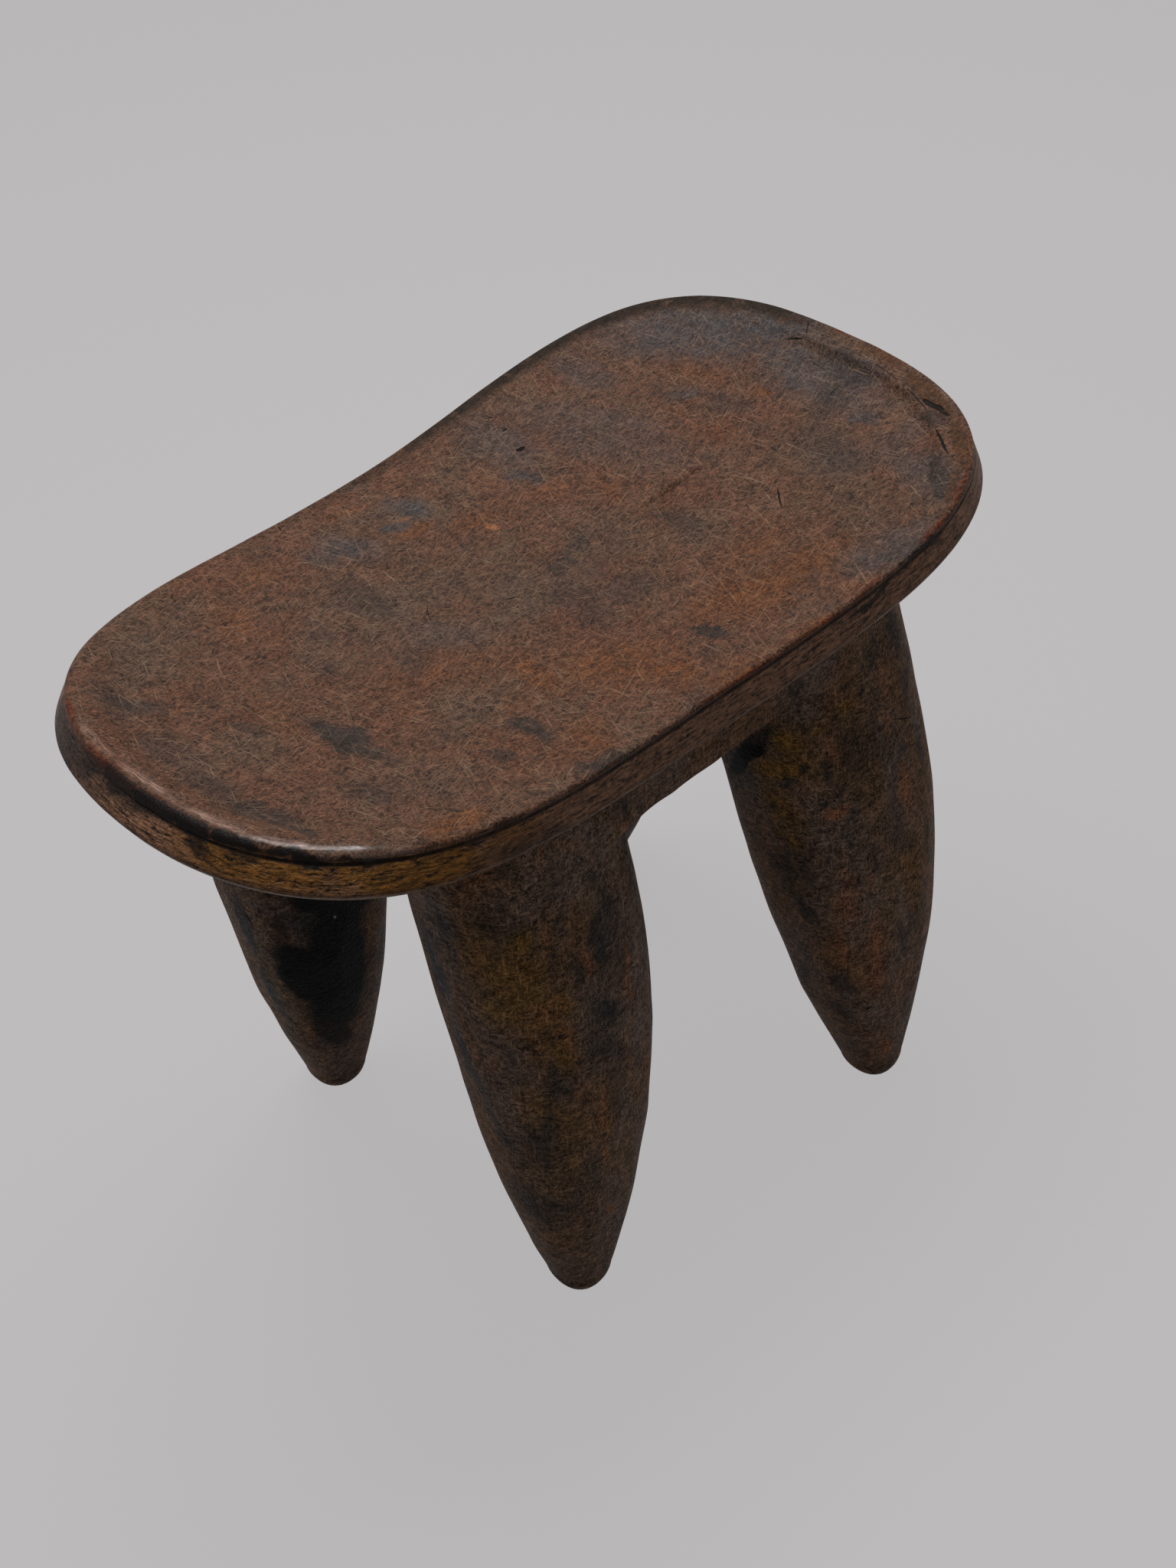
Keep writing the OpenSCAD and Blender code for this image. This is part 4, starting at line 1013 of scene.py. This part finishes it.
# %% Leg material
def smoked_leg_wood():
    """Adzed hardwood, smoked and handled: black blotches, ochre wear and orange streaks that run upright."""
    material, tree, place = new_material("Adzed hardwood, smoked and handled")
    upright = add(tree, "ShaderNodeMapping", {"Vector": place, "Scale": (1, 1, 0.38)})
    soft = warped(tree, place, 16, 7, 41.0)
    ragged = warped(tree, soft, 3.2, 2.0, 42.0)
    crisp = warped(tree, place, 4, 0.8, 43.0)

    def marks(table, coordinates, **options):
        return mark_mask(tree, table, under_tree, coordinates, **options)

    # grain: a leathery skin of small wrinkles across the leg over short fibres along it
    cells = add(tree, "ShaderNodeMapping", {
        "Vector": crisp, "Scale": (1 / WRINKLE_WIDTH, 1 / WRINKLE_WIDTH, 1 / WRINKLE_HEIGHT)})
    cells = add(tree, "ShaderNodeTexVoronoi", {"Vector": cells, "W": 51.0, "Scale": 1.0},
                voronoi_dimensions="4D", feature="F1")
    wrinkle = add(tree, MAP, (cells.outputs["Distance"], 0.55, 0.95))
    pits = patches(tree, ragged, 2.6, 46.0, 0.4, 0.6, roughness=0.7)
    settled = patches(tree, ragged, 8, 54.0, 0.36, 0.6, detail=5.0, roughness=0.65)
    grain = mixed(tree, ((settled, 0.18), (hairs(tree, crisp, LEG_HAIRS, LEG_HAIR_HIGH), 0.6), (pits, 0.22)))

    # stains and wear, each a mask with a tone for the low parts of the grain and one for the high parts:
    # ochre wear, flanks that hands and clothes have rubbed paler, and streaks that follow the legs, of
    # reddish wood laid bare and of black (on the back left leg also painted shade); and a painted blue-grey
    # sheen on the sides that face left
    ochre = add(tree, "MAXIMUM", (
        marks(LEG_OCHRE, soft, depth=30, low=0.0, high=0.7, top=0.9),
        patches(tree, upright, 30, 45.0, 0.52, 0.7, top=0.4, detail=5.0)))
    run = streaks(tree, soft, (7, 7, 60), 47.0, detail=3.0)
    orange = add(tree, "MAXIMUM", (
        marks(LEG_ORANGE, ragged, depth=14, low=0.0, high=0.6, top=0.9),
        add(tree, MAP, (run, 0.6, 0.74, 0, 0.6))))
    black = add(tree, "MAXIMUM", (
        marks(LEG_BLACK_AND_SHADE, ragged, depth=26, high=0.75, top=0.92),
        patches(tree, upright, 18, 48.0, 0.54, 0.68, top=0.8, detail=5.0)))
    slow = patches(tree, upright, 40, 44.0, 0.38, 0.62)
    low_tone, high_tone = layer(tree, slow, "#0d0a09", "#100b08"), layer(tree, slow, "#9a7f6e", "#a57854")
    for mask, low, high in (
        (ochre, "#150e07", "#ae803f"),
        (marks(LEG_RUBBED, soft, depth=24, low=0.0, high=0.6), "#15100d", "#a78a7a"),
        (orange, "#24120a", "#cf8a60"),
        (black, "#080808", "#4a4541"),
        (marks(LEG_PAINTED_SHEEN, soft, depth=16, high=0.55, top=0.9), "#121416", "#4b5258"),
    ):
        low_tone, high_tone = layer(tree, mask, low_tone, low), layer(tree, mask, high_tone, high)
    colour = layer(tree, grain, low_tone, high_tone)

    # what lies over the grain: painted shade in the wrinkles, soot and painted shade on the back left leg, a
    # pale chip and nicks
    nick = marks(LEG_NICKS, crisp, high=0.3)
    for mask, tone in (
        (add(tree, "MULTIPLY", (wrinkle, 0.5)), "#0b0908"),
        (marks(LEG_SOOT_AND_SHADE, ragged, depth=40, high=0.3), layer(tree, grain, "#010101", "#080706")),
        (marks(LEG_PALE, crisp), "#a59a8d"),
        (nick, "#080605"),
    ):
        colour = layer(tree, mask, colour, tone)

    relief = add(tree, "MULTIPLY", (grain, GRAIN_RELIEF))
    for mask, depth in ((wrinkle, WRINKLE_DEPTH), (nick, NICK_DEPTH)):
        relief = add(tree, "MULTIPLY_ADD", (mask, depth, relief))
    rough = add(tree, MAP, (grain, 0, 1, 0.58, 0.42))
    finish_material(tree, colour, relief, rough, {"Specular IOR Level": 0.03})
    return material


leg_wood = smoked_leg_wood()
print("leg wood:", len(leg_wood.node_tree.nodes), "nodes")

# %% [markdown]
# # One skin, five pieces
# The skin is cut where the CAD nodes meet, just under the block, so each leg is a piece of its own with its
# hollow at the top. A cut edge would show as a faint line, because each side would work out its own normals.
# So the whole skin's normals are written down before the cut and handed to the pieces after it.

# %% Carve, cut and finish the block and the legs
skin = apply_tree(underframe, tool_marks, "skin", {
    "Swell size": 48.0, "Swell depth": 2.0, "Scoop length": 52.0, "Scoop width": 19.0, "Scoop depth": 1.5,
    "Along": (0.0, 0.0, 1.0), "Seed": 7.0, "Flat below": 2.0, "Finish": leg_wood,
})
normals = np.empty(len(skin.vertices) * 3, np.float32)
skin.vertex_normals.foreach_get("vector", normals)
skin.attributes.new("skin_normal", "FLOAT_VECTOR", "POINT").data.foreach_set("vector", normals)
CUT_Z = (LEG_TOP_Z - 0.3) * MM


def cut_piece(name, keep_above, side_x=0, side_y=0):
    """The part of the skin above or below the cut, in one quarter, closed with a flat face."""
    part = bmesh.new()
    part.from_mesh(skin)
    bmesh.ops.bisect_plane(
        part, geom=part.verts[:] + part.edges[:] + part.faces[:], plane_co=(0, 0, CUT_Z),
        plane_no=(0, 0, 1), clear_outer=not keep_above, clear_inner=keep_above,
    )
    if side_x:
        away = [v for v in part.verts if v.co.x * side_x < 0 or v.co.y * side_y < 0]
        bmesh.ops.delete(part, geom=away, context="VERTS")
    caps = bmesh.ops.holes_fill(part, edges=[e for e in part.edges if e.is_boundary])["faces"]
    flat = -1.0 if keep_above else 1.0
    for cap in bmesh.ops.triangulate(part, faces=caps)["faces"]:
        cap.normal_update()
        if cap.normal.z * flat < 0:
            cap.normal_flip()
    mesh = bpy.data.meshes.new(name)
    part.to_mesh(mesh)
    part.free()
    mesh.materials.append(leg_wood)
    stored = np.empty(len(mesh.vertices) * 3, np.float32)
    mesh.attributes["skin_normal"].data.foreach_get("vector", stored)
    corner = np.empty(len(mesh.loops), np.int32)
    mesh.loops.foreach_get("vertex_index", corner)
    corner_normals = stored.reshape(-1, 3)[corner]
    face_z = np.array([p.center.z for p in mesh.polygons])
    sizes = np.array([p.loop_total for p in mesh.polygons])
    corner_normals[np.repeat(np.abs(face_z - CUT_Z) < 1e-6, sizes)] = (0, 0, flat)
    mesh.attributes.remove(mesh.attributes["skin_normal"])
    mesh.normals_split_custom_set(corner_normals.tolist())
    return mesh


piece(cut_piece("block_carved", True), "block_carved", ["under_seat_block"])
for name, leg in LEGS.items():
    piece(cut_piece(name + "_carved", False, leg[0], leg[1]), name + "_carved", [name])

# %% [markdown]
# # Floor and light
# The photograph stands on a plain pale grey ground in soft light from above and a little behind. The floor
# and the room share one grey where the camera or a reflection sees them. For the floor that holds in part,
# so that the shadow stays faint; for the room in full, so that no horizon cuts a low view.

# %% Floor
GROUND, ROOM = "#bab8b9", "#6c6e71"
HALF_FLOOR = 8.0
# how much of the floor's grey is its own, and how bright that is
OWN_GREY, OWN_LIGHT = 0.85, 1.09


def seen(tree):
    """1 where the camera, a reflection or a transmitted ray looks, 0 for all other light."""
    path = add(tree, "ShaderNodeLightPath").outputs
    mask = add(tree, "MAXIMUM", (path["Is Camera Ray"], path["Is Glossy Ray"]))
    return add(tree, "MAXIMUM", (mask, path["Is Transmission Ray"]))


corners = [(x * HALF_FLOOR, y * HALF_FLOOR, 0) for x, y in ((-1, -1), (1, -1), (1, 1), (-1, 1))]
floor_mesh = bpy.data.meshes.new("floor")
floor_mesh.from_pydata(corners, [], [(0, 1, 2, 3)])
floor = show("floor", floor_mesh)

# a matt paper: it takes the shadow and gives nothing back but its grey
paper, tree, _ = new_material("Matt grey paper")
own = add(tree, "MULTIPLY", (seen(tree), OWN_GREY))
matt = add(tree, "ShaderNodeBsdfDiffuse", (linear(GROUND),))
glow = add(tree, "ShaderNodeEmission", (linear(GROUND), OWN_LIGHT))
add(tree, "ShaderNodeOutputMaterial", (add(tree, "ShaderNodeMixShader", (own, matt, glow)),))
floor_mesh.materials.append(paper)
print("floor:", 2 * HALF_FLOOR, "m square, grey", GROUND)

# %% World and lamp
scene.world = bpy.data.worlds.new("studio")
scene.world.use_nodes = True
tree = scene.world.node_tree
tree.nodes.clear()
sky = add(tree, "ShaderNodeBackground", (linear(ROOM), 1.0))
backdrop = add(tree, "ShaderNodeBackground", (linear(GROUND), 1.0))
add(tree, "ShaderNodeOutputWorld", (add(tree, "ShaderNodeMixShader", (seen(tree), sky, backdrop)),))

# one rectangular softbox over the stool: place and aim in metres, size in metres, power in watts
LAMP_AT, LAMP_AIM, LAMP_SIZE, LAMP_WATTS = Vector((0.15, 0.38, 1.75)), Vector((0, 0, 0.35)), (1.2, 0.8), 24
lamp = bpy.data.lights.new("overhead", "AREA")
lamp.shape, lamp.energy = "RECTANGLE", LAMP_WATTS
lamp.size, lamp.size_y = LAMP_SIZE
way = (LAMP_AT - LAMP_AIM).to_track_quat("Z", "Y")
show("overhead", lamp).matrix_world = Matrix.Translation(LAMP_AT) @ way.to_matrix().to_4x4()

scene.view_settings.view_transform = "Standard"
print("lamp:", LAMP_WATTS, "W at", LAMP_AT[:])
